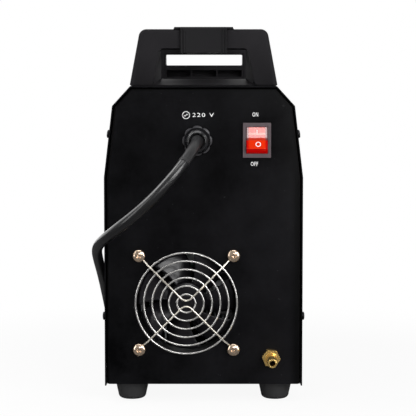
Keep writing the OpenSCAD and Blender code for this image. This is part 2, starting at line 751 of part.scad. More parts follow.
module fan_guard() {
    color([0.85, 0.86, 0.88]) translate([fan_x, 0, fan_z]) {
        for (i = [0:guard_rings - 1])
            translate([0, guard_y, 0]) wire_ring(guard_first + i * ring_pitch, 16 + 4 * i);
        for (side = [0, 1]) mirror([0, 0, side]) {
            swept(spoke_route, 0, len(spoke_route) - 1, [wire_d / 2, wire_d / 2], wire_sides);
            for (s = [-1, 1]) translate(arm(s, eyelet_at, eyelet_y)) wire_ring(eyelet_r, 14);
        }
    }
}

module fan_frame() {
    corner = 4;
    color([0.05, 0.05, 0.055]) difference() {
        along_y(fan_frame_y, fan_d) translate([fan_x, fan_z]) polygon(rounded([
            [fan_w / 2, -fan_w / 2], [fan_w / 2, fan_w / 2], [-fan_w / 2, fan_w / 2],
            [-fan_w / 2, -fan_w / 2]], corner));
        rod_y(fan_x, fan_frame_y - eps, fan_z, fan_open_r, fan_d + 2 * eps);
        at_fan_screws() rod_y(0, fan_frame_y - eps, 0, fan_hole_r, fan_d + 2 * eps);
    }
}
module fan_stator() {
    boss_r = 6;
    boss_y = rotor_y + 4;
    strut_w = 5;
    strut_t = stator_plate - 1;
    strut_end = sqrt(pow(fan_open_r - seam, 2) - pow(strut_w / 2, 2));
    color([0.05, 0.05, 0.055]) difference() {
        union() {
            rod_y(fan_x, stator_y, fan_z, hub_r, stator_plate);
            rod_y(fan_x, boss_y, fan_z, boss_r, stator_y + eps - boss_y);
            for (turn = [20, 140, 260]) translate([fan_x, stator_y + 0.5, fan_z]) rotate([0, turn, 0])
                translate([hub_r - 1, 0, -strut_w / 2]) cube([strut_end - hub_r + 1, strut_t, strut_w]);
        }
        rod_y(fan_x, boss_y - 1, fan_z, shaft_r + run_fit, fan_end_y + 1 - boss_y + eps);
    }
}
module fan_rotor() {
    blade_t = 1.8;
    blade_pitch = 38;
    blade_w = 22;
    color([0.08, 0.08, 0.085]) {
        difference() {
            rod_y(fan_x, rotor_y, fan_z, hub_r, rotor_d);
            rod_y(fan_x, rotor_y + hub_wall, fan_z, hub_r - hub_wall, rotor_d);
        }
        rod_y(fan_x, rotor_y + hub_wall - eps, fan_z, shaft_r, rotor_d);
        translate([fan_x, rotor_y + rotor_d / 2, fan_z]) intersection() {
            rotate([90, 0, 0]) difference() {
                cylinder(r = rotor_r, h = rotor_d - 1, center = true);
                cylinder(r = hub_r - hub_wall / 2, h = rotor_d, center = true);
            }
            union() for (i = [0:fan_blades - 1]) rotate([0, i * 360 / fan_blades, 0])
                translate([0, 0, rotor_r / 2]) rotate([0, 0, -blade_pitch])
                    cube([blade_w, blade_t, rotor_r + 2], center = true);
        }
    }
}
module fan_screws() {
    color([0.8, 0.72, 0.5]) at_fan_screws() {
        head_y = rear_face - wire_d - 0.4;
        difference() {
            translate([0, head_y, 0]) rotate([90, 0, 0]) rotate_extrude() polygon([[0, 0], [fan_head_r, 0],
                [fan_head_r, 0.5], [fan_head_r - 0.8, 1.5], [fan_head_r - 2.4, 2.5], [2, fan_head_t],
                [0, fan_head_t]]);
            for (turn = [0, 90]) translate([0, head_y - fan_head_t, 0]) rotate([0, turn, 0])
                translate([-2.5, -1, -0.5]) cube([5, 2.4, 1]);
        }
        rod_y(0, head_y, 0, fan_screw_r, fan_end_y + 6 - head_y);
    }
}
module fan_nuts() {
    color([0.7, 0.7, 0.72]) at_fan_screws() difference() {
        hex_y(0, fan_end_y, 0, 7, 3.2);
        rod_y(0, fan_end_y - eps, 0, fan_screw_r + 0.02, 4);
    }
}

// ---- Rocker switch -------------------------------------------------------------------------
module switch_housing() {
    color([0.42, 0.4, 0.41]) difference() {
        union() {
            block(switch_x - switch_w / 2, switch_x + switch_w / 2, bezel_face, rear_face - 0.05,
                switch_z - switch_h / 2, switch_z + switch_h / 2);
            block(switch_x - switch_body_w / 2, switch_x + switch_body_w / 2, rear_face - eps,
                rear_face + switch_body_d, switch_z - switch_body_h / 2, switch_z + switch_body_h / 2);
        }
        translate([switch_x, pivot_y, switch_z]) rotate([0, 90, 0])
            cylinder(r = rocker_r + rocker_gap, h = rocker_w + 2 * rocker_gap, center = true);
        translate([switch_x, pivot_y, switch_z]) rotate([0, 90, 0])
            cylinder(r = switch_pin_r + run_fit, h = switch_body_w + 2, center = true);
    }
}
module switch_rocker() {
    rise = rocker_r * 1.1;
    lift = rocker_depth + rise * tan(rocker_vee);
    color([0.85, 0.2, 0.12]) translate([switch_x, pivot_y, switch_z]) rotate([-rocker_turn / 2, 0, 0]) {
        intersection() {
            rotate([0, 90, 0]) cylinder(r = rocker_r, h = rocker_w, center = true);
            rotate([90, 0, 90]) linear_extrude(rocker_w, center = true)
                polygon([[-lift, rise], [-rocker_depth, 0], [-lift, -rise], [1, -rise], [4, 0], [1, rise]]);
        }
        rotate([0, 90, 0]) cylinder(r = switch_pin_r, h = rocker_w + 3, center = true);
    }
}
module switch_terminals() {
    back = rear_face + switch_body_d;
    color([0.8, 0.8, 0.78]) for (x = [-6, 6], z = [-8, 0, 8])
        translate([switch_x + x - 0.4, back, switch_z + z - 2.4]) cube([0.8, 9, 4.8]);
}

// ---- Cable gland ---------------------------------------------------------------------------
module scallops(y0, depth, r) {
    for (i = [0:gland_bumps - 1]) rotate([0, (i + 0.5) * 360 / gland_bumps, 0])
        rod_y(r, y0, 0, gland_d / 2 - r, depth);
}
module gland_body() {
    color([0.12, 0.12, 0.125]) translate([gland_x, 0, gland_z]) difference() {
        union() {
            rod_y(0, rear_face - gland_collar_t, 0, gland_d / 2 - 1, gland_collar_t);
            scallops(rear_face - gland_collar_t, gland_collar_t, gland_d / 2 - 3.6);
            rod_y(0, rear_face - eps, 0, gland_thread_r, 13);
        }
        rod_y(0, rear_face - gland_collar_t - eps, 0, gland_bore_r, gland_collar_t + 14);
    }
}
module gland_nut() {
    y0 = gland_end_y;
    depth = gland_reach - gland_collar_t - 0.05;
    color([0.12, 0.12, 0.125]) translate([gland_x, y0, gland_z]) rotate([-90, 0, 0])
        rotate_extrude() polygon([[gland_mouth_r, 0.6], [gland_mouth_r + 0.6, 0], [gland_rim_r - 0.6, 0],
            [gland_rim_r, 0.8], [gland_rim_r + 1.3, depth * 0.45], [gland_d / 2 - 1.9, depth * 0.72],
            [gland_d / 2 - 1.6, depth], [gland_mouth_r + 1.6, depth], [gland_mouth_r + 1.6, 6],
            [gland_mouth_r, 4]]);
}
module gland_seal() {
    y0 = gland_end_y + 4.2;
    color([0.04, 0.04, 0.045]) difference() {
        rod_y(gland_x, y0 + 2, gland_z, gland_mouth_r + 1.5, gland_reach - gland_collar_t - 6.4);
        rod_y(gland_x, y0, gland_z, cord_d / 2 + 0.1, gland_reach);
    }
}
module gland_locknut() {
    color([0.12, 0.12, 0.125]) translate([gland_x, 0, gland_z]) difference() {
        hex_y(0, rear_in, 0, 22, 5);
        rod_y(0, rear_in - eps, 0, gland_thread_r + 0.02, 6);
    }
}

// ---- Gas path ------------------------------------------------------------------------------
gas_hex_turn = 8;
module gas_inlet() {
    hex_face = rear_face - gas_hex_t;
    tip = rear_face - gas_reach;
    color([0.78, 0.62, 0.3]) difference() {
        union() {
            hex_y(gas_x, hex_face, gas_z, gas_hex, gas_hex_t, gas_hex_turn);
            cone_y(gas_x, hex_face - gas_cone, gas_z, gas_d / 2, gas_d / 2 + 1.2, gas_cone);
            rod_y(gas_x, tip + 1, gas_z, gas_d / 2, gas_spigot - 1);
            cone_y(gas_x, tip, gas_z, gas_d / 2 - 0.7, gas_d / 2, 1);
            rod_y(gas_x, rear_face - eps, gas_z, gas_thread_r, gas_tail_y - rear_face + eps);
            rod_y(gas_x, gas_tail_y - eps, gas_z, gas_d / 2 - 0.5, gas_tail);
        }
        rod_y(gas_x, tip - 1, gas_z, gas_bore_r, gas_reach + 60);
    }
}
module gas_inlet_nut() {
    color([0.78, 0.62, 0.3]) difference() {
        hex_y(gas_x, rear_in, gas_z, gas_hex + 1, 4);
        rod_y(gas_x, rear_in - 1, gas_z, gas_thread_r + 0.02, 6);
    }
}
module gas_inlet_hose() {
    color([0.1, 0.12, 0.2]) difference() {
        rod_y(gas_x, gas_tail_y + 1, gas_z, hose_r, valve_y - gas_tail_y - 2);
        rod_y(gas_x, gas_tail_y, gas_z, gas_d / 2 - 0.45, valve_y - gas_tail_y);
    }
}
module valve_body() {
    port = 14;
    x0 = gas_x - valve_w / 2;
    x1 = gas_x + valve_w / 2;
    color([0.75, 0.6, 0.3]) difference() {
        union() {
            block(x0, x1, valve_y, valve_y + valve_d, gas_z - 11, valve_top);
            block(x0, x1, valve_y + 4, valve_y + valve_d - 4, floor_top, gas_z - 10);
            rod_y(gas_x, valve_y - port, gas_z, gas_d / 2 - 0.5, port + 1);
            rod_y(gas_x, valve_y + valve_d - 1, gas_z, gas_d / 2 - 0.5, port + 1);
            translate([gas_x, valve_mid, valve_top - eps])
                cylinder(r = tube_r, h = tube_top - valve_top + eps);
        }
        rod_y(gas_x, valve_y - port - 1, gas_z, gas_bore_r, port + 8);
        rod_y(gas_x, valve_y + valve_d - 8, gas_z, gas_bore_r, port + 10);
        translate([gas_x, valve_mid, plunger_z])
            cylinder(r = plunger_bore_r, h = tube_top - plunger_z - tube_cap);
    }
}
module valve_coil() {
    half = coil_w / 2;
    color([0.08, 0.08, 0.09]) difference() {
        block(gas_x - half, gas_x + half, valve_mid - half, valve_mid + half, valve_top + fit, tube_top - 1);
        translate([gas_x, valve_mid, valve_top]) cylinder(r = tube_r + 0.1, h = tube_top);
    }
}
module valve_plunger() {
    color([0.7, 0.7, 0.72]) translate([gas_x, valve_mid, plunger_z + eps])
        cylinder(r = plunger_r, h = plunger_h);
}
module valve_spring() {
    color([0.75, 0.75, 0.77]) translate([gas_x, valve_mid, spring_z]) difference() {
        cylinder(r = plunger_r - 0.5, h = spring_h);
        translate([0, 0, -eps]) cylinder(r = plunger_r - 1.7, h = spring_h + 1);
    }
}
module gas_outlet_hose() {
    y0 = valve_y + valve_d + 14.2;
    y1 = torch_tail_y - 0.2;
    hose_path = [for (t = [0:0.1:1]) let(s = t * t * (3 - 2 * t))
        [gas_x + (socket_x - gas_x) * s, y0 + (y1 - y0) * t, gas_z + (socket_z - gas_z) * s]];
    color([0.1, 0.12, 0.2]) swept(hose_path, 0, len(hose_path) - 1, [hose_r, hose_r], 10);
}

// ---- Power electronics ---------------------------------------------------------------------
module heat_sink(x) {
    pitch = (sink_w - sink_fin) / (sink_fins - 1);
    wall = 4;
    color([0.62, 0.63, 0.65]) {
        block(x, x + sink_w, sink_y, sink_y + sink_l, sink_z[1] - wall, sink_z[1]);
        for (i = [0:sink_fins - 1])
            block(x + i * pitch, x + i * pitch + sink_fin, sink_y, sink_y + sink_l,
                i % (sink_fins - 1) == 0 ? floor_top : sink_z[0], sink_z[1] - wall + eps);
    }
}
module heat_sink_left() { heat_sink(sink_x[0]); }
module heat_sink_right() { heat_sink(sink_x[1]); }
module transistors() {
    color([0.07, 0.07, 0.08]) for (x = sink_x, i = [0:3])
        translate([x + sink_w / 2 - 8, sink_y + 8 + i * 28, sink_z[1] + 0.1]) cube([16, 20, 5]);
}
module main_board() {
    color([0.1, 0.35, 0.16]) difference() {
        block(board_x[0], board_x[1], board_y[0], board_y[1], board_z, board_z + board_t);
        at_standoffs() translate([0, 0, board_z - eps]) cylinder(r = 1.7, h = board_t + 2 * eps);
    }
}
module at_standoffs() {
    for (x = [sink_x[0] + 5, sink_x[1] + sink_w - 5], y = [sink_y + 4, sink_y + sink_l - 4])
        translate([x, y, 0]) children();
}
module board_standoffs() {
    color([0.75, 0.65, 0.35]) at_standoffs() {
        translate([0, 0, sink_z[1]]) cylinder(r = standoff_r, h = board_z - sink_z[1] - 0.05, $fn = 6);
        translate([0, 0, board_z - 0.1]) cylinder(r = 1.5, h = board_t + 1);
        translate([0, 0, board_z + board_t + 0.1]) cylinder(r = 2.8, h = 2);
    }
}
module bus_capacitors() {
    color([0.1, 0.12, 0.22]) for (y = cap_y)
        translate([cap_x, y, board_z + board_t]) cylinder(r = cap_r, h = cap_h);
}
module bridge_rectifier() {
    color([0.12, 0.12, 0.13]) translate([-6, sink_y + 26, board_z + board_t]) cube([28, 28, 9]);
}
module transformer_core() {
    window = (core_w - 3 * core_leg) / 2;
    color([0.2, 0.2, 0.21]) difference() {
        block(core_x - core_w / 2, core_x + core_w / 2, core_y, core_y + core_d,
            floor_top, floor_top + core_h);
        both_windows(window) cube([window, core_d + 2, core_h - 2 * core_leg], center = true);
    }
}
module both_windows(window) {
    for (s = [-1, 1])
        translate([core_x + s * (core_leg + window) / 2, core_y + core_d / 2, floor_top + core_h / 2])
            children();
}
module transformer_winding() {
    inner = core_leg / 2 + fit;
    outer = inner + 8;
    over = 8;
    z0 = floor_top + core_leg + fit;
    color([0.75, 0.5, 0.2]) translate([core_x, core_y + core_d / 2, z0]) difference() {
        translate([-outer, -core_d / 2 - over, 0])
            cube([2 * outer, core_d + 2 * over, core_h - 2 * core_leg - 2 * fit]);
        translate([-inner, -core_d / 2 - fit, -1]) cube([2 * inner, core_d + 2 * fit, core_h]);
    }
}
module choke_core() {
    color([0.55, 0.5, 0.2]) translate([core_x, choke_y, floor_top]) difference() {
        union() {
            cylinder(r = choke_r - 3, h = choke_h);
            translate([-8, -choke_r + 4, 0]) cube([16, 2 * choke_r - 8, choke_foot]);
        }
        translate([0, 0, -1]) cylinder(r = choke_hole_r, h = choke_h + 2);
    }
}
module choke_winding() {
    color([0.7, 0.4, 0.2]) translate([core_x, choke_y, floor_top + choke_foot + fit]) difference() {
        cylinder(r = choke_r, h = choke_h - 1);
        translate([0, 0, -1]) cylinder(r = choke_r - 2.8, h = choke_h + 2);
    }
}

// ---- Control panel -------------------------------------------------------------------------
lamp_x = [-38, 38];
lamp_r = 2.5;
module control_board() {
    color([0.1, 0.35, 0.16]) difference() {
        block(-48, 48, control_y - board_t, control_y, knob_z - 24, display_z + 20);
        rod_y(0, control_y - 3, knob_z, 4, 4);
    }
    color([0.7, 0.7, 0.72]) for (x = [-44, 44], z = [knob_z - 20, display_z + 16])
        rod_y(x, control_y, z, 3, front_in - control_y);
}
module potentiometer() {
    color([0.6, 0.6, 0.62]) difference() {
        union() {
            rod_y(0, front_in - pot_h - 3, knob_z, pot_r, pot_h);
            rod_y(0, front_in - 4, knob_z, bush_r, 4 + panel_t + 4);
            hex_y(0, front_face + 0.05, knob_z, 12, 2.2);
        }
        rod_y(0, front_in - pot_h, knob_z, pot_shaft_r + run_fit, 30);
    }
}
module control_knob() {
    y0 = front_face + 4 + knob_gap;
    flutes = 18;
    color([0.1, 0.1, 0.105]) {
        difference() {
            union() {
                rod_y(0, y0, knob_z, knob_d / 2, 3);
                cone_y(0, y0 + 2.9, knob_z, knob_d / 2 - 1.5, knob_d / 2 - 3, knob_h - 3);
            }
            for (i = [0:flutes - 1]) translate([0, y0 + 3.5, knob_z]) rotate([0, i * 360 / flutes, 0])
                translate([knob_d / 2 - 1, 0, 0]) rotate([-90, 0, 0]) cylinder(r = 1.1, h = knob_h);
            translate([-0.6, y0 + knob_h - 0.7, knob_z + 2]) cube([1.2, 2, knob_d / 2 - 5]);
            rod_y(0, y0 - eps, knob_z, bush_r + 3, 4);
        }
        rod_y(0, front_in - pot_h + 1, knob_z, pot_shaft_r, y0 + 6 - front_in + pot_h);
    }
}
module display_window() {
    w = display_w / 2 - 0.3;
    h = display_h / 2 - 0.3;
    color([0.35, 0.05, 0.06]) {
        block(-w, w, front_in - 1, front_face + 1, display_z - h, display_z + h);
        block(-w - 3, w + 3, front_in - 3, front_in - 0.1, display_z - h - 3, display_z + h + 3);
    }
}
module indicator_lamps() {
    color([0.2, 0.7, 0.25]) for (x = lamp_x) {
        rod_y(x, front_in - 6, display_z, lamp_r, 6 + panel_t + 1.2);
        rod_y(x, front_in - 2, display_z, lamp_r + 1, 1.8);
    }
}
module torch_flange() {
    color([0.1, 0.1, 0.105]) difference() {
        rod_y(socket_x, front_face, socket_z, torch_flange_r, torch_flange_t);
        rod_y(socket_x, front_face - eps, socket_z, torch_r + 0.1, torch_flange_t + 1);
    }
}
module torch_stud() {
    color([0.78, 0.62, 0.3]) difference() {
        union() {
            rod_y(socket_x, front_in - 10, socket_z, torch_neck_r, 10 + panel_t + torch_flange_t + eps);
            rod_y(socket_x, front_face + torch_flange_t, socket_z, torch_r, torch_reach - torch_flange_t);
            hex_y(socket_x, front_in - 6, socket_z, 24, 5.9);
            rod_y(socket_x, torch_tail_y, socket_z, gas_d / 2, front_in - 9 - torch_tail_y);
        }
        rod_y(socket_x, torch_tail_y - 1, socket_z, gas_bore_r, 60);
    }
}
earth_thread_r = 12;
module earth_collar() {
    color([0.1, 0.1, 0.105]) difference() {
        union() {
            rod_y(-socket_x, front_face, socket_z, earth_r, 5);
            rod_y(-socket_x, front_face, socket_z, earth_r - 2, earth_reach);
            rod_y(-socket_x, front_in - 8, socket_z, earth_thread_r, 10);
        }
        rod_y(-socket_x, front_in - 9, socket_z, earth_bore / 2 + 2.5, 40);
    }
}
module earth_contact() {
    outer = earth_bore / 2 + 2.4;
    color([0.78, 0.62, 0.3]) difference() {
        union() {
            rod_y(-socket_x, contact_y, socket_z, outer, earth_depth);
            hex_y(-socket_x, contact_y - 4, socket_z, 24, 4.1);
        }
        rod_y(-socket_x, contact_y + 1, socket_z, earth_bore / 2, earth_depth + 1);
    }
}
module trigger_socket() {
    color([0.7, 0.7, 0.72]) {
        difference() {
            union() {
                rod_y(trigger_x, front_in - 12, trigger_z, trigger_r, 12 + panel_t + 8);
                rod_y(trigger_x, front_face + 0.05, trigger_z, trigger_r + 2.5, 2);
            }
            rod_y(trigger_x, front_face + 1, trigger_z, trigger_r - 1.5, 12);
        }
        for (x = [-2.5, 2.5]) rod_y(trigger_x + x, front_face + 0.9, trigger_z, 0.9, 6);
    }
}

// ---- Mains cord ----------------------------------------------------------------------------
boot_r = [5.4, 5.1];
module cord_boot() {
    color([0.1, 0.1, 0.105]) swept(route, 0, boot_end, boot_r, 12);
}
module cord_run() {
    color([0.12, 0.12, 0.125]) swept(route, boot_end, run_end, [cord_d / 2, cord_d / 2], 8);
}
module cord_coil() {
    color([0.12, 0.12, 0.125]) swept(route, run_end, coil_last, [cord_d / 2, cord_d / 2], 6);
}
module plug_body() {
    color([0.1, 0.1, 0.105]) translate([plug_tail_x, plug_y, plug_r]) rotate([0, 90, 0]) rotate_extrude()
        polygon([[0, 0], [cord_d / 2 + 1.6, 0], [cord_d / 2 + 3.4, plug_tail], [plug_r - 6, plug_tail + 3],
            [plug_r - 2.4, plug_tail + 12], [plug_r, plug_tail + plug_l - 10],
            [plug_r, plug_tail + plug_l - 1], [plug_r - 1, plug_tail + plug_l], [0, plug_tail + plug_l]]);
}
module plug_pins() {
    color([0.8, 0.8, 0.78]) for (s = [-1, 1])
        translate([plug_tail_x + plug_tail + plug_l, plug_y + s * pin_pitch / 2, plug_r])
            rotate([0, 90, 0]) {
                cylinder(r = pin_r, h = pin_l - 1);
                translate([0, 0, pin_l - 1]) cylinder(r1 = pin_r, r2 = pin_r - 0.9, h = 1);
            }
}

// ---- Shown pieces ----------------------------------------------------------------------------
chassis();
rear_panel();
front_panel();
cover();
cover_screws();
handle_frame();
handle_grip();
handle_screws();
foot_rear_left();
foot_rear_right();
foot_front_left();
foot_front_right();
foot_screws();
fan_guard();
fan_frame();
fan_stator();
fan_rotor();
fan_screws();
fan_nuts();
switch_housing();
switch_rocker();
switch_terminals();
gland_body();
gland_nut();
gland_locknut();
gland_seal();
gas_inlet();
gas_inlet_nut();
gas_inlet_hose();
valve_body();
valve_coil();
valve_plunger();
valve_spring();
gas_outlet_hose();
heat_sink_left();
heat_sink_right();
transistors();
main_board();
board_standoffs();
bus_capacitors();
bridge_rectifier();
transformer_core();
transformer_winding();
choke_core();
choke_winding();
control_board();
potentiometer();
control_knob();
display_window();
indicator_lamps();
torch_flange();
torch_stud();
earth_collar();
earth_contact();
trigger_socket();
cord_boot();
cord_run();
cord_coil();
plug_body();
plug_pins();
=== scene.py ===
import math

import bmesh
import bpy
from mathutils import Matrix, Vector


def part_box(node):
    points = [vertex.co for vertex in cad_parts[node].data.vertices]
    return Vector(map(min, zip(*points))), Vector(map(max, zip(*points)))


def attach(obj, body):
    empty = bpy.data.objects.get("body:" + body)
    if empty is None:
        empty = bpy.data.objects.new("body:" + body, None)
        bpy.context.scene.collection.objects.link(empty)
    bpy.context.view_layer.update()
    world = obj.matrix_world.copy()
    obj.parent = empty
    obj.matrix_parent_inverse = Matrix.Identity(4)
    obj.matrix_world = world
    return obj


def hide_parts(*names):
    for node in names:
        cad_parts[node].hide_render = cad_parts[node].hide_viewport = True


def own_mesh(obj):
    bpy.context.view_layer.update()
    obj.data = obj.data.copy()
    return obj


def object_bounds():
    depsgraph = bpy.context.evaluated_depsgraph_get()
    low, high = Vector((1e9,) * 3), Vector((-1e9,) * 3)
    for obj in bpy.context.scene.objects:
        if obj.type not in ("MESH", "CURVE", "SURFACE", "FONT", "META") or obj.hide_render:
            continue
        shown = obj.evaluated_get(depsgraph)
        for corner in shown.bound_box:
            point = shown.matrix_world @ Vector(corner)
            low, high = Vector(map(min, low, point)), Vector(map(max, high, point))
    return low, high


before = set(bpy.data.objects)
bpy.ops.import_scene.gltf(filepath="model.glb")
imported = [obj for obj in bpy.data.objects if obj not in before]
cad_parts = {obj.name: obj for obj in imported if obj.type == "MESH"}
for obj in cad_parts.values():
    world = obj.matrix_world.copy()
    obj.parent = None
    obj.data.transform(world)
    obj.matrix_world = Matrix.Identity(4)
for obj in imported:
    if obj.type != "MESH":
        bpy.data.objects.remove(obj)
CAD_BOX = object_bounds()

# ---- Studio ----------------------------------------------------------------------------------
# A long lens looks at the rear panel from 1.3 m away, from a little above the middle of the case,
# and tilts down by 4.4 degrees. Colours are shown as they are, with no film curve.
MM = 0.001
REAR_Y = -160.5 * MM
VIEW_DISTANCE = 1300 * MM
VIEW_X = 3.9 * MM
VIEW_Z = 271.4 * MM
TILT_DOWN = 4.42
FRAME_PIXELS = 416
FOCAL_PIXELS = 1499.3
SENSOR = 36

scene = bpy.context.scene
scene.view_settings.view_transform = "Standard"

camera_data = bpy.data.cameras.new("rear_view")
camera_data.sensor_width = SENSOR
camera_data.lens = FOCAL_PIXELS / FRAME_PIXELS * SENSOR
camera = bpy.data.objects.new("rear_view", camera_data)
camera.location = (VIEW_X, REAR_Y - VIEW_DISTANCE, VIEW_Z)
camera.rotation_euler = (math.radians(90 - TILT_DOWN), 0, 0)
scene.collection.objects.link(camera)
scene.camera = camera


class Link:
    """A socket of a finish. Sums of links and numbers add the Math nodes that they stand for."""

    def __init__(self, finish, socket):
        self.finish, self.socket = finish, socket

    def maths(self, operation, *terms):
        """The result of a Math node on this socket and the terms."""
        values = dict(enumerate((self, *terms)))
        return self.finish.node("ShaderNodeMath", {"operation": operation}, values)["Value"]

    def __add__(self, other):
        return self.maths("ADD", other)

    def __sub__(self, other):
        return self.maths("SUBTRACT", other)

    def __rsub__(self, other):
        return (self * -1).maths("ADD", other)

    def __mul__(self, other):
        return self.maths("MULTIPLY", other)

    def __gt__(self, other):
        return self.maths("GREATER_THAN", other)

    def __lt__(self, other):
        return self.maths("LESS_THAN", other)

    def __abs__(self):
        return self.maths("ABSOLUTE")

    __radd__ = __add__
    __rmul__ = __mul__


class Outputs:
    """The outputs of a node that was added to a finish, by name."""

    def __init__(self, finish, made):
        self.finish, self.made = finish, made

    def __getitem__(self, name):
        return Link(self.finish, self.made.outputs[name])


class Tree:
    """A node tree that is added to by name."""

    def node(self, kind, settings=None, values=None):
        """Adds a node: its settings first, then a value or a link for each socket named."""
        made = self.tree.nodes.new(kind)
        for name, value in (settings or {}).items():
            setattr(made, name, value)
        for name, value in (values or {}).items():
            socket = made.inputs[name]
            if isinstance(value, Link):
                self.tree.links.new(value.socket, socket)
            elif socket.type == "RGBA":
                socket.default_value = (*value, 1)
            else:
                socket.default_value = value
        return Outputs(self, made)

    def ramp(self, value, start, end):
        """A smooth step of a value, from 0 at start to 1 at end."""
        values = {"Value": value, "From Min": start, "From Max": end}
        return self.node("ShaderNodeMapRange", {"interpolation_type": "SMOOTHSTEP"}, values)["Result"]


class Finish(Tree):
    """One finish of the unit: a material with its nodes."""

    def __init__(self, name):
        self.material = bpy.data.materials.new(name)
        self.material.use_nodes = True
        self.tree = self.material.node_tree
        self.tree.nodes.clear()
        self.place = self.node("ShaderNodeTexCoord")["Object"]

    def speckle(self, size, detail=2.0, roughness=0.5, stretch=(1, 1, 1)):
        """Noise with spots of about this size, in metres, drawn out along the axes."""
        moved = self.node("ShaderNodeMapping", None, {"Vector": self.place, "Scale": stretch})["Vector"]
        values = {"Vector": moved, "Scale": 0.5 / size, "Detail": detail, "Roughness": roughness}
        return self.node("ShaderNodeTexNoise", None, values)["Fac"]

    def blend(self, factor, first, second):
        """A colour between two colours."""
        return self.node("ShaderNodeMix", {"data_type": "RGBA"}, {0: factor, 6: first, 7: second})[2]

    def bump(self, height, depth):
        """The normal of a surface with this relief, depth metres high."""
        values = {"Height": height, "Distance": depth, "Strength": 1.0}
        return self.node("ShaderNodeBump", None, values)["Normal"]

    def surface(self, **sockets):
        """The finish's principled shader, its sockets named with underscores for spaces."""
        values = {name.replace("_", " "): value for name, value in sockets.items()}
        shader = self.node("ShaderNodeBsdfPrincipled", None, values)["BSDF"]
        self.node("ShaderNodeOutputMaterial", None, {"Surface": shader})
        return self.material


def shade(red, green, blue):
    """A colour written in display values from 0 to 255, as the shader wants it."""
    parts = [part / 255 for part in (red, green, blue)]
    return tuple(part / 12.92 if part <= 0.04045 else ((part + 0.055) / 1.055) ** 2.4 for part in parts)


# ---- Floor, backdrop and lamps ---------------------------------------------------------------
# A pale seamless board with a faint shadow, and a white room round it. Softboxes: one overhead, a
# key high in front, a strip at each side, one above the cord and a small one for the switch.
FLOOR_SIZE, FLOOR_GAP = 8.0, 0.2 * MM
PAPER, GLOW_NEAR, GLOW_FROM, GLOW_FULL = 0.9, 0.92, 220 * MM, 500 * MM
MIRRORED_DARK, MIRRORED_SHARE = 0.05, 0.88
WALL_IN_FRONT, WALL_BEHIND, WALL_TURN, ROOM_LIGHT = 0.24, 1.8, 0.5, 0.3
# Name, place, turns in degrees, size in metres and power in watts.
LAMPS = (
    ("overhead", (0.0, -0.8, 1.75), (26, 0, 0), (1.4, 0.5), 7),
    ("front_key", (1.0, -1.9, 0.95), (67, 0, 30), (0.9, 0.6), 14),
    ("left_strip", (-1.2, -1.05, 0.5), (80, 0, -53), (0.3, 1.2), 4.5),
    ("right_strip", (1.2, -1.15, 0.5), (80, 0, 50), (0.3, 1.2), 8),
    ("cord_light", (-0.8, 0.0, 1.1), (-10, -39, 0), (0.6, 0.6), 5),
    ("switch_light", (0.112, -2.12, 0.594), (80, 0, 3), (0.34, 0.26), 2.4),
)
for name, place, turns, size, power in LAMPS:
    lamp_data = bpy.data.lights.new(name, "AREA")
    lamp_data.shape = "RECTANGLE"
    lamp_data.size, lamp_data.size_y = size
    lamp_data.energy = power
    lamp = bpy.data.objects.new(name, lamp_data)
    lamp.location = place
    lamp.rotation_euler = [math.radians(turn) for turn in turns]
    scene.collection.objects.link(lamp)

# The camera sees the board glow, a little less near the unit. Reflections see it nearly black.
board = Finish("pale_board")
ray = board.node("ShaderNodeLightPath")
flat_place = board.node("ShaderNodeVectorMath", {"operation": "LENGTH"}, {0: board.place})["Value"]
far = board.ramp(flat_place, GLOW_FROM, GLOW_FULL) * (1 - GLOW_NEAR) + GLOW_NEAR
paper = board.node("ShaderNodeBsdfDiffuse", None, {"Color": [PAPER] * 3})["BSDF"]
glow = board.node("ShaderNodeEmission", None, {"Color": (1, 1, 1), "Strength": 1.0})["Emission"]
dark = board.node("ShaderNodeBsdfDiffuse", None, {"Color": [MIRRORED_DARK] * 3})["BSDF"]
shown = board.node("ShaderNodeMixShader", None,
                   {0: ray["Is Camera Ray"] * far, 1: paper, 2: glow})["Shader"]
mirrored = board.node("ShaderNodeMixShader", None,
                      {0: ray["Is Glossy Ray"] * MIRRORED_SHARE, 1: shown, 2: dark})["Shader"]
board.node("ShaderNodeOutputMaterial", None, {"Surface": mirrored})
floor_mesh = bpy.data.meshes.new("floor")
half = FLOOR_SIZE / 2
floor_corners = [(-half, -half, 0), (half, -half, 0), (half, half, 0), (-half, half, 0)]
floor_mesh.from_pydata(floor_corners, [], [(0, 1, 2, 3)])
floor_mesh.materials.append(board.material)
floor = bpy.data.objects.new("floor", floor_mesh)
floor.location.z = CAD_BOX[0].z - FLOOR_GAP
scene.collection.objects.link(floor)


class Sky(Tree):
    """The white room round the board, as a world."""

    def __init__(self, name):
        self.world = bpy.data.worlds.new(name)
        self.world.use_nodes = True
        self.tree = self.world.node_tree
        self.tree.nodes.clear()

    def level(self, strength):
        """White light of this strength."""
        values = {"Color": (1, 1, 1), "Strength": strength}
        return self.node("ShaderNodeBackground", None, values)["Background"]


# In reflections the room is dim in front of the unit and bright behind it.
room = Sky("white_room")
room_ray = room.node("ShaderNodeLightPath")
heading = room.node("ShaderNodeSeparateXYZ", None, {"Vector": room.node("ShaderNodeTexCoord")["Generated"]})
behind = room.ramp(heading["Y"], 0.0, WALL_TURN)
walls = room.node("ShaderNodeMixShader", None,
                  {0: behind, 1: room.level(WALL_IN_FRONT), 2: room.level(WALL_BEHIND)})["Shader"]
unseen = room.node("ShaderNodeMixShader", None,
                   {0: room_ray["Is Glossy Ray"], 1: room.level(ROOM_LIGHT), 2: walls})
seen = room.node("ShaderNodeMixShader", None,
                 {0: room_ray["Is Camera Ray"], 1: unseen["Shader"], 2: room.level(1.0)})
room.node("ShaderNodeOutputWorld", None, {"Surface": seen["Shader"]})
scene.world = room.world

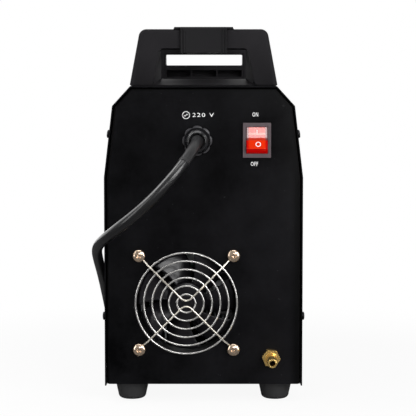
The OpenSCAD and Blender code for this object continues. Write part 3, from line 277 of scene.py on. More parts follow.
# ---- Mains cord ------------------------------------------------------------------------------
# A round 9 mm rubber-sheathed lead. It leaves the gland through a moulded boot, droops over the
# left rear corner, lies along the left side and ends in a flat coil of 4.25 turns and a plug.
CORD_D = 9 * MM
# Places of the gland, the cord, the coil and the plug are in millimetres.
GLAND_X, GLAND_Z, GLAND_END_Y = -5.4, 229.5, -180.5
BOOT_POINTS = [(GLAND_X, GLAND_END_Y + 6, GLAND_Z), (GLAND_X, GLAND_END_Y - 6, GLAND_Z - 0.3),
               (-7.1, -199, 226.2), (-10.8, -210, 220.5)]
CORD_POINTS = [
    (-16.5, -218.6, 212.6), (-23.7, -224.2, 203.5), (-32, -227.3, 194), (-40.9, -228.3, 184.6),
    (-50.3, -227.5, 175.7), (-59.9, -224.6, 167.4), (-69.2, -219.7, 159.9), (-77.5, -212.3, 153.1),
    (-84, -202.6, 147.4), (-88.4, -191.5, 142.4), (-91.1, -179.8, 137.5), (-92.2, -167.9, 132.3),
    (-92.4, -147.9, 123.4), (-92.1, -119.9, 111.2), (-92, -90, 98), (-92, -60, 84), (-92, -30, 69.5),
    (-92, 0, 54.3), (-92, 30, 38.6), (-92, 60, 23.6), (-92, 90, 12), (-92.5, 120, 6),
    (-93.5, 150, 4.7), (-94.5, 188, 4.7), (-95, 225, 4.7), (-95, 265, 4.7)]
COIL_X, COIL_Y, COIL_R, COIL_TURNS = -37, 275, 58, 4.25
LOOP_PITCH, LAYER_UP, LIE_Z = 9.9, 9.6, 4.7
PLUG_X, PLUG_Z = 21, 19
ROUTE_STEPS, COIL_STEPS, LEAD_STEPS = 5, 48, 2


def smooth_line(points, steps):
    """Points of a smooth curve through a line of points, with steps pieces between neighbours."""
    points = [Vector(point) for point in points]
    ends = [2 * points[0] - points[1], *points, 2 * points[-1] - points[-2]]
    line = []
    for a, b, c, d in zip(ends, ends[1:], ends[2:], ends[3:]):
        for step in range(steps):
            t = step / steps
            line.append((2 * b + (c - a) * t + (2 * a - 5 * b + 4 * c - d) * t * t
                         + (3 * b - a - 3 * c + d) * t * t * t) / 2)
    return [*line, points[-1]]


def coil_place(turn):
    """The cord's middle after this many turns of the coil: in on the floor, up, and out on top."""
    radius = COIL_R - LOOP_PITCH * min(turn, COIL_TURNS - turn)
    rise = max(0, min(1, (turn - COIL_TURNS / 2 + 0.25) * 2))
    around = math.pi - math.tau * turn
    height = LIE_Z + LAYER_UP * rise * rise * (3 - 2 * rise)
    return Vector((COIL_X + radius * math.cos(around), COIL_Y + radius * math.sin(around), height))


hand_line = smooth_line(BOOT_POINTS + CORD_POINTS, ROUTE_STEPS)
coil_line = [coil_place(step / COIL_STEPS) for step in range(round(COIL_TURNS * COIL_STEPS))]
coil_end = Vector((COIL_X, COIL_Y + COIL_R, LIE_Z + LAYER_UP))
lead_out = smooth_line([coil_end, coil_end + Vector((14, 0, 0.4)), coil_end + Vector((28, 0, 2.2)),
                        (PLUG_X - 18, coil_end.y, PLUG_Z - 0.4), (PLUG_X - 10, coil_end.y, PLUG_Z),
                        (PLUG_X, coil_end.y, PLUG_Z)], LEAD_STEPS)
cord_line = [point * MM for point in hand_line + coil_line + lead_out]


def add_piece(name, mesh, body="case"):
    """A piece of the unit at the origin, that rides on a CAD body."""
    piece = bpy.data.objects.new(name, mesh)
    scene.collection.objects.link(piece)
    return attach(piece, body)


def band_faces(rings, sides, first=0):
    """Faces between rings of points that follow one another, with sides points in each."""
    faces = []
    for ring in range(rings - 1):
        for side in range(sides):
            a, b = first + ring * sides + side, first + ring * sides + (side + 1) % sides
            faces.append((a, b, b + sides, a + sides))
    return faces


def tube_mesh(name, line, radii, sides):
    """A tube along a line of points with a radius at each, its ends closed."""
    verts = []
    last = len(line) - 1
    for i, (point, radius) in enumerate(zip(line, radii)):
        ahead = (line[min(i + 1, last)] - line[max(i - 1, 0)]).normalized()
        side = Vector((0, 0, 1)).cross(ahead).normalized()
        up = ahead.cross(side)
        for k in range(sides):
            turn = math.tau * (k + 0.5) / sides
            verts.append(point + radius * (math.cos(turn) * side + math.sin(turn) * up))
    faces = band_faces(len(line), sides)
    faces += [tuple(range(sides))[::-1], tuple(last * sides + k for k in range(sides))]
    mesh = bpy.data.meshes.new(name)
    mesh.from_pydata(verts, [], faces)
    mesh.shade_smooth()
    return mesh


def moulded(name, colour, roughness, grain=0.4 * MM, depth=0.02 * MM, wear=0.06, **sockets):
    """A moulded plastic or rubber: fine grain, faint cloudy patches, and shine that varies."""
    finish = Finish(name)
    grit = finish.speckle(grain, 3)
    cloud = finish.speckle(18 * MM, 3, 0.6)
    paler = tuple(min(1, part * 1.35 + 0.0015) for part in colour)
    darker = tuple(part * 0.8 for part in colour)
    return finish.surface(
        Base_Color=finish.blend(cloud, darker, paler),
        Roughness=cloud * wear + (roughness - wear / 2),
        Normal=finish.bump(grit, depth), **sockets)


SHARP = math.radians(32)


def merged(node):
    """A copy of a CAD solid's mesh, its loose triangles merged into faces."""
    solid = bmesh.new()
    solid.from_mesh(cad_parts[node].data)
    bmesh.ops.remove_doubles(solid, verts=solid.verts, dist=0.005 * MM)
    bmesh.ops.dissolve_limit(solid, angle_limit=math.radians(0.6), verts=solid.verts, edges=solid.edges)
    mesh = bpy.data.meshes.new(node + "_copy")
    solid.to_mesh(mesh)
    solid.free()
    return mesh


def softened(node, name, material, edge, segments=2, body="case", sharp=SHARP):
    """A piece with a CAD solid's own shape, its sharp edges rounded."""
    mesh = merged(node)
    mesh.materials.append(material)
    mesh.shade_smooth()
    mesh.set_sharp_from_angle(angle=sharp)
    piece = add_piece(name, mesh, body)
    rounding = piece.modifiers.new("rounded_edges", "BEVEL")
    rounding.width = edge
    rounding.segments = segments
    rounding.limit_method = "ANGLE"
    rounding.angle_limit = sharp
    rounding.harden_normals = True
    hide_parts(node)
    return piece


def dress(node, material):
    """Gives a CAD solid that shows as it is its own finish."""
    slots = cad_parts[node].data.materials
    slots.clear()
    slots.append(material)


def plated(name, colour, roughness, smear=0.12, grain=0.5 * MM, depth=0.004 * MM,
           stretch=(1, 1, 1), metal=1.0, **sockets):
    """A bare or plated metal: faint drawn grain, smeared shine and slightly uneven colour."""
    finish = Finish(name)
    drawn = finish.speckle(grain, 3, 0.6, stretch)
    cloud = finish.speckle(14 * MM, 4, 0.6)
    dull = tuple(part * 0.82 for part in colour)
    return finish.surface(
        Base_Color=finish.blend(cloud, dull, colour), Metallic=metal,
        Roughness=cloud * smear + (roughness - smear / 2),
        Normal=finish.bump(drawn, depth), **sockets)


sheath = moulded("cord_rubber", shade(13, 13, 15), 0.29, 4 * MM, 0.0005 * MM, 0.04,
                 Specular_IOR_Level=0.75)
boot_rubber = moulded("boot_rubber", shade(22, 22, 24), 0.46, 1.2 * MM, 0.003 * MM, 0.06,
                      Specular_IOR_Level=0.45)
cord_mesh = tube_mesh("mains_cord", cord_line, [CORD_D / 2] * len(cord_line), 20)
cord_mesh.materials.append(sheath)
mains_cord = add_piece("mains_cord", cord_mesh)
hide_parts("cord_run", "cord_coil")

# The boot tapers along the cord's first four spans, with ribs near the gland and a lip at its end.
BOOT_R = (5.0 * MM, 4.62 * MM)
BOOT_STEPS, BOOT_SPANS, BOOT_SIDES = 24, 4, 24
RIB_STEPS, RIB_HEIGHT, RIB_SHARE = 6, 0.2 * MM, 0.26
LIP_HEIGHT, LIP_SHARE = 0.35 * MM, 0.95
boot_curve = smooth_line(BOOT_POINTS + CORD_POINTS[:2], BOOT_STEPS)
boot_line = [point * MM for point in boot_curve[:BOOT_STEPS * BOOT_SPANS + 1]]
boot_radii = []
for i in range(len(boot_line)):
    along = i / (BOOT_STEPS * BOOT_SPANS)
    if along < RIB_SHARE:
        proud = RIB_HEIGHT * (i % RIB_STEPS < RIB_STEPS / 2)
    else:
        proud = LIP_HEIGHT * (along > LIP_SHARE)
    boot_radii.append(BOOT_R[0] + (BOOT_R[1] - BOOT_R[0]) * along + proud)
boot_mesh = tube_mesh("strain_relief_boot", boot_line, boot_radii, BOOT_SIDES)
boot_mesh.materials.append(boot_rubber)
strain_boot = add_piece("strain_relief_boot", boot_mesh)
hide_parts("cord_boot")

plug_plastic = moulded("plug_plastic", shade(30, 30, 31), 0.4, 0.6 * MM, 0.02 * MM)
mains_plug = softened("plug_body", "mains_plug", plug_plastic, 0.6 * MM, 3)
dress("plug_pins", plated("pin_nickel", shade(206, 204, 198), 0.22))

# ---- Chassis and sheet panels ----------------------------------------------------------------
# The tray is 1.5 mm zinc-plated steel. The two end panels are the same sheet with a folded
# flange all round, powder coated black, punched for the fittings and screwed to the cover.
SHEET_EDGE = 0.25 * MM
CASE_HALF = 86.5 * MM


def powder_coat(name, folded):
    """Black powder coat: orange-peel skin, cloudy shine and dust specks.

    A folded panel has painted shade towards its folded edges, and painted light low on the right with a
    strip of painted shade next to that right edge.
    """
    finish = Finish(name)
    peel = finish.speckle(0.9 * MM, 2, 0.45)
    cloud = finish.speckle(26 * MM, 4, 0.6)
    dust = finish.speckle(1.4 * MM, 1) > 0.79
    tone = cloud * 2.6 + finish.speckle(1.6 * MM, 2) * 0.5 - 1.05
    coat = finish.blend(tone, shade(0, 0, 1), shade(16, 16, 18.5))
    if folded:
        parts = finish.node("ShaderNodeSeparateXYZ", None, {"Vector": finish.place})
        side, up = abs(parts["X"]), parts["Z"]
        # How far a place is past the sides, and past the shoulders and the top: negative inside.
        flank = (side - CASE_HALF).maths("MAXIMUM", side * 0.993 + up * 0.117 - 109.0 * MM)
        slope = (side * 0.7385 + up * 0.6741 - 233.4 * MM).maths("MAXIMUM", up - 276.6 * MM)
        # Painted shade: the coat darkens towards the folds at the panel's edges.
        rim_shade = finish.ramp(flank.maths("MAXIMUM", slope), -4.8 * MM, -2.4 * MM)
        # Painted light: the coat is paler low on the right.
        lit = finish.ramp(up, 230 * MM, 190 * MM) * finish.ramp(parts["X"], 30 * MM, 70 * MM)
        coat = finish.blend(lit * 0.25, coat, shade(34, 34, 37))
        # Painted shade: a dark strip beside the right edge, where the painted light meets the fold.
        right_edge_shade = lit * finish.ramp(flank, -12 * MM, -3.5 * MM)
        coat = finish.blend(rim_shade.maths("MAXIMUM", right_edge_shade * 0.8), coat, shade(0, 0, 0))
    return finish.surface(
        Base_Color=finish.blend(dust * 0.12, coat, shade(90, 90, 92)),
        Roughness=cloud * 0.3 + 0.36,
        Normal=finish.bump(peel, 0.03 * MM), Specular_IOR_Level=0.07)


powder = powder_coat("case_powder", False)
panel_powder = powder_coat("panel_powder", True)
zinc_sheet = plated("zinc_sheet", shade(176, 178, 182), 0.38, 0.2, 3 * MM)
softened("chassis", "chassis_tray", zinc_sheet, SHEET_EDGE)
softened("rear_panel", "rear_panel_sheet", panel_powder, SHEET_EDGE)
softened("front_panel", "front_panel_sheet", panel_powder, SHEET_EDGE)

# ---- Cover -----------------------------------------------------------------------------------
# One 1.2 mm sheet folded over both sides and the top, with louvres punched low on the sides.
# Its raw edge stands half a millimetre past the panels and catches the light.
softened("cover", "cover_shell", powder, SHEET_EDGE)

# ---- Cover screws ----------------------------------------------------------------------------
# Eight blackened pan heads with a cross recess hold the cover to the flanges of the end panels.
# They were driven by hand, so each cross stands at its own angle.
COVER_HEAD_R, COVER_HEAD_T = 3.6 * MM, 2.4 * MM
COVER_SCREW_Z = (75 * MM, 235 * MM)
COVER_SCREW_Y = (-150.75 * MM, 158.75 * MM)
COVER_CROSS, COVER_RECESS, COVER_SHANK = 3.6 * MM, 1.3 * MM, (2 * MM, 7 * MM)
KINK_Z, LEAN = 197.4 * MM, math.radians(6.71)


class Pattern(Tree):
    """A geometry-nodes tree that repeats or sweeps a shape, with its sizes as named inputs."""

    def __init__(self, name, **sizes):
        self.name = name
        self.tree = bpy.data.node_groups.new(name, "GeometryNodeTree")
        self.values = {}
        kinds = {float: "NodeSocketFloat", int: "NodeSocketInt", bpy.types.Object: "NodeSocketObject"}
        self.tree.interface.new_socket("Geometry", in_out="INPUT", socket_type="NodeSocketGeometry")
        for size, value in sizes.items():
            kind = kinds[type(value)]
            socket = self.tree.interface.new_socket(size, in_out="INPUT", socket_type=kind)
            self.values[socket.identifier] = value
        self.given = self.node("NodeGroupInput")

    def made(self, shape, material, points=()):
        """The plain mesh that the tree makes from this shape link, on these points."""
        self.tree.interface.new_socket("Geometry", in_out="OUTPUT", socket_type="NodeSocketGeometry")
        real = self.node("GeometryNodeRealizeInstances", None, {"Geometry": shape})["Geometry"]
        dressed = self.node("GeometryNodeSetMaterial", None, {"Geometry": real, "Material": material})
        self.node("NodeGroupOutput", None, {"Geometry": dressed["Geometry"]})
        seed = bpy.data.meshes.new(self.name + "_points")
        seed.from_pydata([point for point, facing in points], [], [])
        facings = seed.attributes.new("facing", "FLOAT_VECTOR", "POINT")
        facings.data.foreach_set("vector", [part for point, facing in points for part in facing])
        holder = bpy.data.objects.new(self.name + "_holder", seed)
        scene.collection.objects.link(holder)
        modifier = holder.modifiers.new(self.name, "NODES")
        modifier.node_group = self.tree
        for identifier, value in self.values.items():
            modifier[identifier] = value
        settled = holder.evaluated_get(bpy.context.evaluated_depsgraph_get())
        mesh = bpy.data.meshes.new_from_object(settled)
        bpy.data.objects.remove(holder)
        return mesh


def turned_mesh(name, verts, faces, weld, sharp):
    """A mesh with doubled points welded, faces turned outwards, and folds over an angle sharp."""
    mesh = bpy.data.meshes.new(name)
    mesh.from_pydata(verts, [], faces)
    solid = bmesh.new()
    solid.from_mesh(mesh)
    bmesh.ops.remove_doubles(solid, verts=solid.verts, dist=weld)
    bmesh.ops.recalc_face_normals(solid, faces=solid.faces)
    solid.to_mesh(mesh)
    solid.free()
    mesh.shade_smooth()
    mesh.set_sharp_from_angle(angle=sharp)
    return mesh


def screw_head(name, radius, height, cross, depth, shank, crown=0.75):
    """A domed screw round the Z axis, its head's underside at zero, with a cross recess and shank."""
    RINGS, SIDES = 16, 40
    ARM_HALF, ARM_REACH, ARM_SLOPE = 0.17 * cross, 0.5 * cross, 0.6
    verts = [(0, 0, -shank[1])]
    for ring in range(RINGS + 1):
        # The rings crowd towards the rim, where the dome is steepest.
        share = 1 - ring / RINGS
        across = radius * min(1, 1.02 * share ** 0.8)
        for side in range(SIDES):
            turn = math.tau * side / SIDES
            x, y = across * math.cos(turn), across * math.sin(turn)
            dome = 1 - crown + crown * math.sqrt(max(0, 1 - (across / radius) ** 2))
            near, far = sorted((abs(x), abs(y)))
            sunk = depth if near < ARM_HALF and far < ARM_REACH else 0
            verts.append((x, y, height * dome - sunk * (1 - ARM_SLOPE * far / cross)))
    faces = band_faces(RINGS + 1, SIDES, 1)
    below = [(radius, 0), (shank[0], 0), (shank[0], -shank[1])]
    first = 1
    for across, up in below:
        foot = len(verts)
        for side in range(SIDES):
            turn = math.tau * side / SIDES
            verts.append((across * math.cos(turn), across * math.sin(turn), up))
            faces.append((foot + side, foot + (side + 1) % SIDES, first + (side + 1) % SIDES, first + side))
        first = foot
    faces += [(first + (side + 1) % SIDES, first + side, 0) for side in range(SIDES)]
    return turned_mesh(name, verts, faces, 0.001 * MM, math.radians(50))


def driven_screws(name, head, places, material, seed):
    """Screw heads on places that each face outwards, turned at random about their own axes."""
    head_object = bpy.data.objects.new(name + "_head", head)
    pattern = Pattern(name, Head=head_object, Seed=seed)
    shape = pattern.node("GeometryNodeObjectInfo", None, {"Object": pattern.given["Head"]})["Geometry"]
    facing = pattern.node("GeometryNodeInputNamedAttribute", {"data_type": "FLOAT_VECTOR"},
                          {"Name": "facing"})["Attribute"]
    aimed = pattern.node("FunctionNodeAlignRotationToVector", {"axis": "Z"}, {"Vector": facing})
    turn = pattern.node("FunctionNodeRandomValue", None,
                        {2: 0.0, 3: math.tau, "Seed": pattern.given["Seed"]})[1]
    spin = pattern.node("FunctionNodeAxisAngleToRotation", None,
                        {"Axis": (0, 0, 1), "Angle": turn})["Rotation"]
    both_turns = pattern.node("FunctionNodeRotateRotation", {"rotation_space": "LOCAL"},
                              {"Rotation": aimed["Rotation"], "Rotate By": spin})["Rotation"]
    set_in = pattern.node("GeometryNodeInstanceOnPoints", None,
                          {"Points": pattern.given["Geometry"], "Instance": shape, "Rotation": both_turns})
    mesh = pattern.made(set_in["Instances"], material, places)
    bpy.data.objects.remove(head_object)
    return mesh


black_steel = plated("black_screw", shade(46, 46, 48), 0.36, 0.1, 0.3 * MM)
screw_places = []
for side in (-1, 1):
    for along in COVER_SCREW_Y:
        for up in COVER_SCREW_Z:
            lean = LEAN if up > KINK_Z else 0
            out = CASE_HALF - max(0, up - KINK_Z) * math.tan(lean)
            screw_places.append(((side * out, along, up), (side * math.cos(lean), 0, math.sin(lean))))
cover_head = screw_head("cover_head", COVER_HEAD_R, COVER_HEAD_T, COVER_CROSS, COVER_RECESS,
                        COVER_SHANK, 0.4)
COVER_SEED = 3
cover_heads = driven_screws("cover_screws", cover_head, screw_places, black_steel, COVER_SEED)
cover_screws = add_piece("cover_screws_driven", cover_heads)
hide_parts("cover_screws")

# ---- Feet ------------------------------------------------------------------------------------
# Four turned rubber buffers with a rounded rim, each held by a screw from below and a nut
# inside the tray. The rubber is matt and picks up dust.
rubber = moulded("foot_rubber", shade(44, 44, 45), 0.62, 0.6 * MM, 0.03 * MM, 0.12, Specular_IOR_Level=0.35)
zinc_plate = plated("zinc_steel", shade(188, 190, 194), 0.3)
for corner in ("rear_left", "rear_right", "front_left", "front_right"):
    softened("foot_" + corner, "rubber_foot_" + corner, rubber, 0.4 * MM)
dress("foot_screws", zinc_plate)

# ---- Handle ----------------------------------------------------------------------------------
# A grey-black nylon moulding with a fine spark-eroded grain: two arches on one base, and a
# separate grip that clips over both. Four screws hold it from inside the cover.
handle_nylon = moulded("handle_plastic", shade(33, 32, 34), 0.56, 0.35 * MM, 0.02 * MM, 0.08,
                       Specular_IOR_Level=0.04)
grip_nylon = moulded("grip_plastic", shade(29, 28.5, 30), 0.52, 0.35 * MM, 0.02 * MM, 0.08,
                     Specular_IOR_Level=0.06)
softened("handle_frame", "handle_arches", handle_nylon, 0.4 * MM, 3)
softened("handle_grip", "handle_grip_bar", grip_nylon, 0.4 * MM, 3)
dress("handle_screws", zinc_plate)

# ---- Fan -------------------------------------------------------------------------------------
# A 92 mm axial fan behind the panel: square frame, hub on three struts, and a glossy black
# rotor with seven swept blades. A guard of bright-plated wire is screwed over it.
FAN_X, FAN_Z = -15 * MM, 88 * MM
ROTOR_Y, ROTOR_D, ROTOR_R, HUB_R = -155.7 * MM, 16 * MM, 42.3 * MM, 17 * MM
BLADES = 7
fan_black = moulded("fan_plastic", shade(20, 20, 21), 0.42, 0.5 * MM, 0.015 * MM)
blade_black = moulded("fan_blade", shade(24, 23, 26), 0.2, 6 * MM, 0.002 * MM, 0.04,
                      Specular_IOR_Level=0.3)
softened("fan_frame", "fan_square_frame", fan_black, 0.3 * MM)
softened("fan_stator", "fan_stator_struts", fan_black, 0.2 * MM)


def blade_mesh():
    """One fan blade from the hub outwards along Z: a thin sheet, swept and twisted."""
    ALONG, ACROSS = 14, 14
    verts, faces = [], []
    for i in range(ALONG + 1):
        share = i / ALONG
        reach = (HUB_R - 0.5 * MM) + (ROTOR_R - HUB_R + 0.5 * MM) * share
        middle = math.radians(-8.6 - 14 * share ** 1.2)
        spread = math.radians(48 - 8 * share)
        for j in range(ACROSS + 1):
            across = j / ACROSS - 0.5
            turn = middle + spread * across
            depth = (0.5 + across) * (ROTOR_D - 3 * MM) * (1 - 0.12 * share) + 1.5 * MM
            camber = 1.1 * MM * math.cos(math.pi * across)
            verts.append((reach * math.sin(turn), depth - camber, reach * math.cos(turn)))
    for i in range(ALONG):
        for j in range(ACROSS):
            a = i * (ACROSS + 1) + j
            faces.append((a, a + 1, a + ACROSS + 2, a + ACROSS + 1))
    mesh = bpy.data.meshes.new("blade")
    mesh.from_pydata(verts, [], faces)
    mesh.shade_smooth()
    return mesh


def lathe_y(name, profile, sides, place=(0, 0, 0), scallop=None):
    """A turned shape about an axis along Y: profile points are (radius, y)."""
    verts = []
    for radius, along in profile:
        for side in range(sides):
            turn = math.tau * side / sides
            reach = radius if scallop is None else scallop(radius, turn)
            across, up = reach * math.sin(turn), reach * math.cos(turn)
            verts.append((place[0] + across, place[1] + along, place[2] + up))
    return turned_mesh(name, verts, band_faces(len(profile), sides), 0.002 * MM, SHARP)


def joined(name, meshes, material):
    """Several meshes as one, with one finish."""
    whole = bmesh.new()
    for mesh in meshes:
        whole.from_mesh(mesh)
    mesh = bpy.data.meshes.new(name)
    whole.to_mesh(mesh)
    whole.free()
    mesh.materials.clear()
    mesh.materials.append(material)
    return mesh


def repeated_round(name, shape, count, axis, material):
    """A mesh repeated this many times round an axis through the origin."""
    shape_object = bpy.data.objects.new(name + "_shape", shape)
    ring = Pattern(name, Shape=shape_object, Count=count)
    copied = ring.node("GeometryNodeObjectInfo", None, {"Object": ring.given["Shape"]})["Geometry"]
    spots = ring.node("GeometryNodePoints", None, {"Count": ring.given["Count"]})["Points"]
    index = ring.node("GeometryNodeInputIndex")["Index"]
    turn = (index * math.tau).maths("DIVIDE", ring.given["Count"])
    aim = ring.node("FunctionNodeAxisAngleToRotation", None, {"Axis": axis, "Angle": turn})["Rotation"]
    set_on = ring.node("GeometryNodeInstanceOnPoints", None,
                       {"Points": spots, "Instance": copied, "Rotation": aim})["Instances"]
    mesh = ring.made(set_on, material)
    bpy.data.objects.remove(shape_object)
    return mesh


blades = repeated_round("rotor_blades", blade_mesh(), BLADES, (0, 1, 0), blade_black)
blades.transform(Matrix.Translation((FAN_X, ROTOR_Y, FAN_Z)))
rotor_blades = add_piece("fan_rotor_blades", blades, "fan")
thick = rotor_blades.modifiers.new("blade_thickness", "SOLIDIFY")
thick.thickness = 1.2 * MM
thick.offset = 0
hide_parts("fan_rotor")
hub_profile = [(0, 0.0), (5, 0.0), (5.5, 0.35), (14.6, 0.35), (16.2, 0.7), (17, 1.8), (17, 15.6),
               (15.6, 15.6), (15.6, 2.4), (2, 2.4), (2, 15.5), (0, 15.5)]
hub = lathe_y("hub", [(r * MM, y * MM) for r, y in hub_profile], 64, (FAN_X, ROTOR_Y, FAN_Z))
hub.materials.append(blade_black)
rotor_hub = add_piece("fan_rotor_hub", hub, "fan")
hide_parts("fan_rotor")

# The guard is two pieces: the rings in one plane, and the two bent spokes that are welded over
# them with an eyelet under each screw.
WIRE_D = 1.6 * MM
GUARD_Y, SPOKE_Y, EYELET_Y = -165.5 * MM, -166.6 * MM, -161.5 * MM
RING_FIRST, RING_STEP, RINGS = 8 * MM, 7.25 * MM, 6
EYELET_AT, EYELET_R = 58.34 * MM, 3.4 * MM
SPOKE_BEND, STEP_IN, STEP_OUT = 6.28 * MM, 47 * MM, 52 * MM
chrome = plated("guard_chrome", shade(244, 242, 239), 0.14, 0.04, 0.8 * MM, 0.0005 * MM, metal=0.86)
guard = Pattern("guard_rings", First=RING_FIRST, Step=RING_STEP, Rings=RINGS, Wire=WIRE_D / 2)
ring_spots = guard.node("GeometryNodePoints", None, {"Count": guard.given["Rings"]})["Points"]
ring_index = guard.node("GeometryNodeInputIndex")["Index"]
ring_size = ring_index * guard.given["Step"] + guard.given["First"]
ring_line = guard.node("GeometryNodeCurvePrimitiveCircle", {"mode": "RADIUS"},
                       {"Resolution": 96, "Radius": 1.0})["Curve"]
rings_on = guard.node("GeometryNodeInstanceOnPoints", None,
                      {"Points": ring_spots, "Instance": ring_line, "Scale": ring_size})["Instances"]
rings_real = guard.node("GeometryNodeRealizeInstances", None, {"Geometry": rings_on})["Geometry"]
wire_line = guard.node("GeometryNodeCurvePrimitiveCircle", {"mode": "RADIUS"},
                       {"Resolution": 12, "Radius": guard.given["Wire"]})["Curve"]
wire = guard.node("GeometryNodeCurveToMesh", None,
                  {"Curve": rings_real, "Profile Curve": wire_line})["Mesh"]
ring_mesh = guard.made(wire, chrome)
ring_mesh.transform(Matrix.Translation((FAN_X, GUARD_Y, FAN_Z)) @ Matrix.Rotation(math.radians(90), 4, "X"))


def spoke_line(side):
    """One bent spoke's middle line: in from an eyelet, over the rings, round, and out again."""
    DIAGONAL = math.sqrt(0.5)
    half_line = [(EYELET_AT - EYELET_R, EYELET_Y), (STEP_OUT, EYELET_Y), (STEP_IN, SPOKE_Y),
                 (SPOKE_BEND, SPOKE_Y)]
    left = [Vector((-r * DIAGONAL, y, r * DIAGONAL)) for r, y in half_line]
    bend = []
    for step in range(0, 9):
        turn = math.radians(225 + 90 * step / 8)
        up = SPOKE_BEND * (math.sqrt(2) + math.sin(turn))
        bend.append(Vector((SPOKE_BEND * math.cos(turn), SPOKE_Y, up)))
    right = [Vector((-point.x, point.y, point.z)) for point in reversed(left)]
    line = left[:-1] + bend + right[1:]
    return [Vector((FAN_X + point.x, point.y, FAN_Z + side * point.z)) for point in line]


guard_parts = []
for side in (1, -1):
    line = spoke_line(side)
    guard_parts.append(tube_mesh("spoke", line, [WIRE_D / 2] * len(line), 12))
    reach = EYELET_AT * math.sqrt(0.5)
    for hand in (-1, 1):
        centre = Vector((FAN_X + hand * reach, EYELET_Y, FAN_Z + side * reach))
        around = [centre + EYELET_R * Vector((math.cos(turn), 0, math.sin(turn)))
                  for turn in [math.tau * step / 24 for step in range(25)]]
        guard_parts.append(tube_mesh("eyelet", around, [WIRE_D / 2] * len(around), 10))
spoke_plate = plated("guard_spoke_plate", shade(254, 247, 234), 0.13, 0.04, 0.8 * MM, 0.0005 * MM,
                     metal=0.74)
spoke_mesh = joined("guard_spokes", guard_parts, spoke_plate)
spoke_mesh.shade_smooth()
guard_spokes = add_piece("guard_spokes", spoke_mesh)
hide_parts("fan_guard")
ring_mesh.shade_smooth()
finger_guard = add_piece("finger_guard", ring_mesh)
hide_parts("fan_guard")

# Its four screws are truss heads in yellowish zinc, over nuts behind the frame.
yellow_zinc = plated("fan_screw_zinc", shade(248, 222, 196), 0.16, 0.08, 0.8 * MM, 0.002 * MM, metal=0.93)
HOLE_PITCH = 82.5 * MM
TRUSS_Y, TRUSS_R, TRUSS_T, TRUSS_CROSS, TRUSS_RECESS = -162.5 * MM, 5.5 * MM, 3 * MM, 4.2 * MM, 1.5 * MM
fan_places = [((FAN_X + across * HOLE_PITCH / 2, TRUSS_Y, FAN_Z + up * HOLE_PITCH / 2), (0, -1, 0))
              for across in (-1, 1) for up in (-1, 1)]
truss_head = screw_head("truss_head", TRUSS_R, TRUSS_T, TRUSS_CROSS, TRUSS_RECESS, (2 * MM, 34.8 * MM))
TRUSS_SEED = 11
truss_heads = driven_screws("fan_screws", truss_head, fan_places, yellow_zinc, TRUSS_SEED)
fan_screws = add_piece("fan_screws_driven", truss_heads)
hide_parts("fan_screws")
dress("fan_nuts", zinc_plate)

# ---- Rocker switch ---------------------------------------------------------------------------
# A snap-in grey housing with a raised bezel, and a translucent red rocker on two pins. The mark
# for ON is on the pressed upper half and the one for OFF on the raised lower half.
SWITCH_X, SWITCH_Z, PIVOT_Y = 46.3 * MM, 229.8 * MM, -156.84 * MM
ROCKER_DEPTH, ROCKER_VEE, ROCKER_TILT = 6.2 * MM, math.radians(10), math.radians(16)
bezel_grey = moulded("bezel_plastic", shade(78, 67, 71), 0.4, 0.5 * MM, 0.012 * MM, 0.08)
softened("switch_housing", "switch_bezel_housing", bezel_grey, 0.35 * MM, 3)


def rocker_glaze():
    """Clear red plastic, orange red, glossier on the upper half: painted shade makes its sides and foot
    deep red, and a painted reflection makes a pale stripe on the upper half.
    """
    finish = Finish("rocker_red")
    parts = finish.node("ShaderNodeSeparateXYZ", None, {"Vector": finish.place})
    cloud = finish.speckle(5 * MM, 2)
    grit = finish.speckle(0.8 * MM, 2)
    # Painted shade: the key's sides are deep red, and grey on the upper half.
    rim_shade = finish.ramp(abs(parts["X"] - SWITCH_X), 6.4 * MM, 8.2 * MM)
    # Painted shade: the foot below this line is deep red.
    foot = finish.ramp(parts["Z"], SWITCH_Z - 7.5 * MM, SWITCH_Z - 6.9 * MM)
    # Painted reflection: a pale stripe across the upper half.
    painted_reflection_band = 1 - finish.ramp(abs(parts["Z"] - SWITCH_Z - 5.6 * MM), 0.3 * MM, 1.5 * MM)
    upper = parts["Z"] > SWITCH_Z
    lower_red = finish.blend(cloud, shade(212, 36, 1), shade(224, 48, 2))
    lower_red = finish.blend((1 - rim_shade) * foot, shade(180, 3, 2), lower_red)
    upper_red = finish.blend(painted_reflection_band * 0.6, shade(188, 42, 16), shade(206, 150, 136))
    upper_red = finish.blend(rim_shade, upper_red, shade(104, 50, 50))
    return finish.surface(
        Base_Color=finish.blend(upper, lower_red, upper_red),
        Roughness=cloud * 0.04 + 0.06, Normal=finish.bump(grit, 0.002 * MM),
        Coat_Weight=upper * 0.75 + 0.03, Coat_Roughness=0.05, Specular_IOR_Level=0.2)


softened("switch_rocker", "rocker_key", rocker_glaze(), 0.5 * MM, 4, "rocker",
         math.radians(14))
dress("switch_terminals", plated("tin", shade(200, 200, 198), 0.32))
mark_white = moulded("mark_white", shade(244, 236, 232), 0.4, 0.3 * MM, 0.004 * MM)


def rocker_face(half, along):
    """Place on a face of the rocker at rest, half 1 for the upper face and -1 for the lower."""
    turn = Matrix.Rotation(-ROCKER_TILT, 4, "X")
    flat = Matrix.Rotation(math.radians(90) + half * ROCKER_VEE, 4, "X")
    at = Vector((0, -ROCKER_DEPTH - along * math.sin(ROCKER_VEE), half * along * math.cos(ROCKER_VEE)))
    return Matrix.Translation((SWITCH_X, PIVOT_Y, SWITCH_Z)) @ turn @ Matrix.Translation(at) @ flat


def blocks(name, placings):
    """Unit cubes as one mesh, each of them sized and put in place by a matrix."""
    shape = bmesh.new()
    for placing in placings:
        bmesh.ops.create_cube(shape, size=1, matrix=placing)
    mesh = bpy.data.meshes.new(name)
    shape.to_mesh(mesh)
    shape.free()
    return mesh


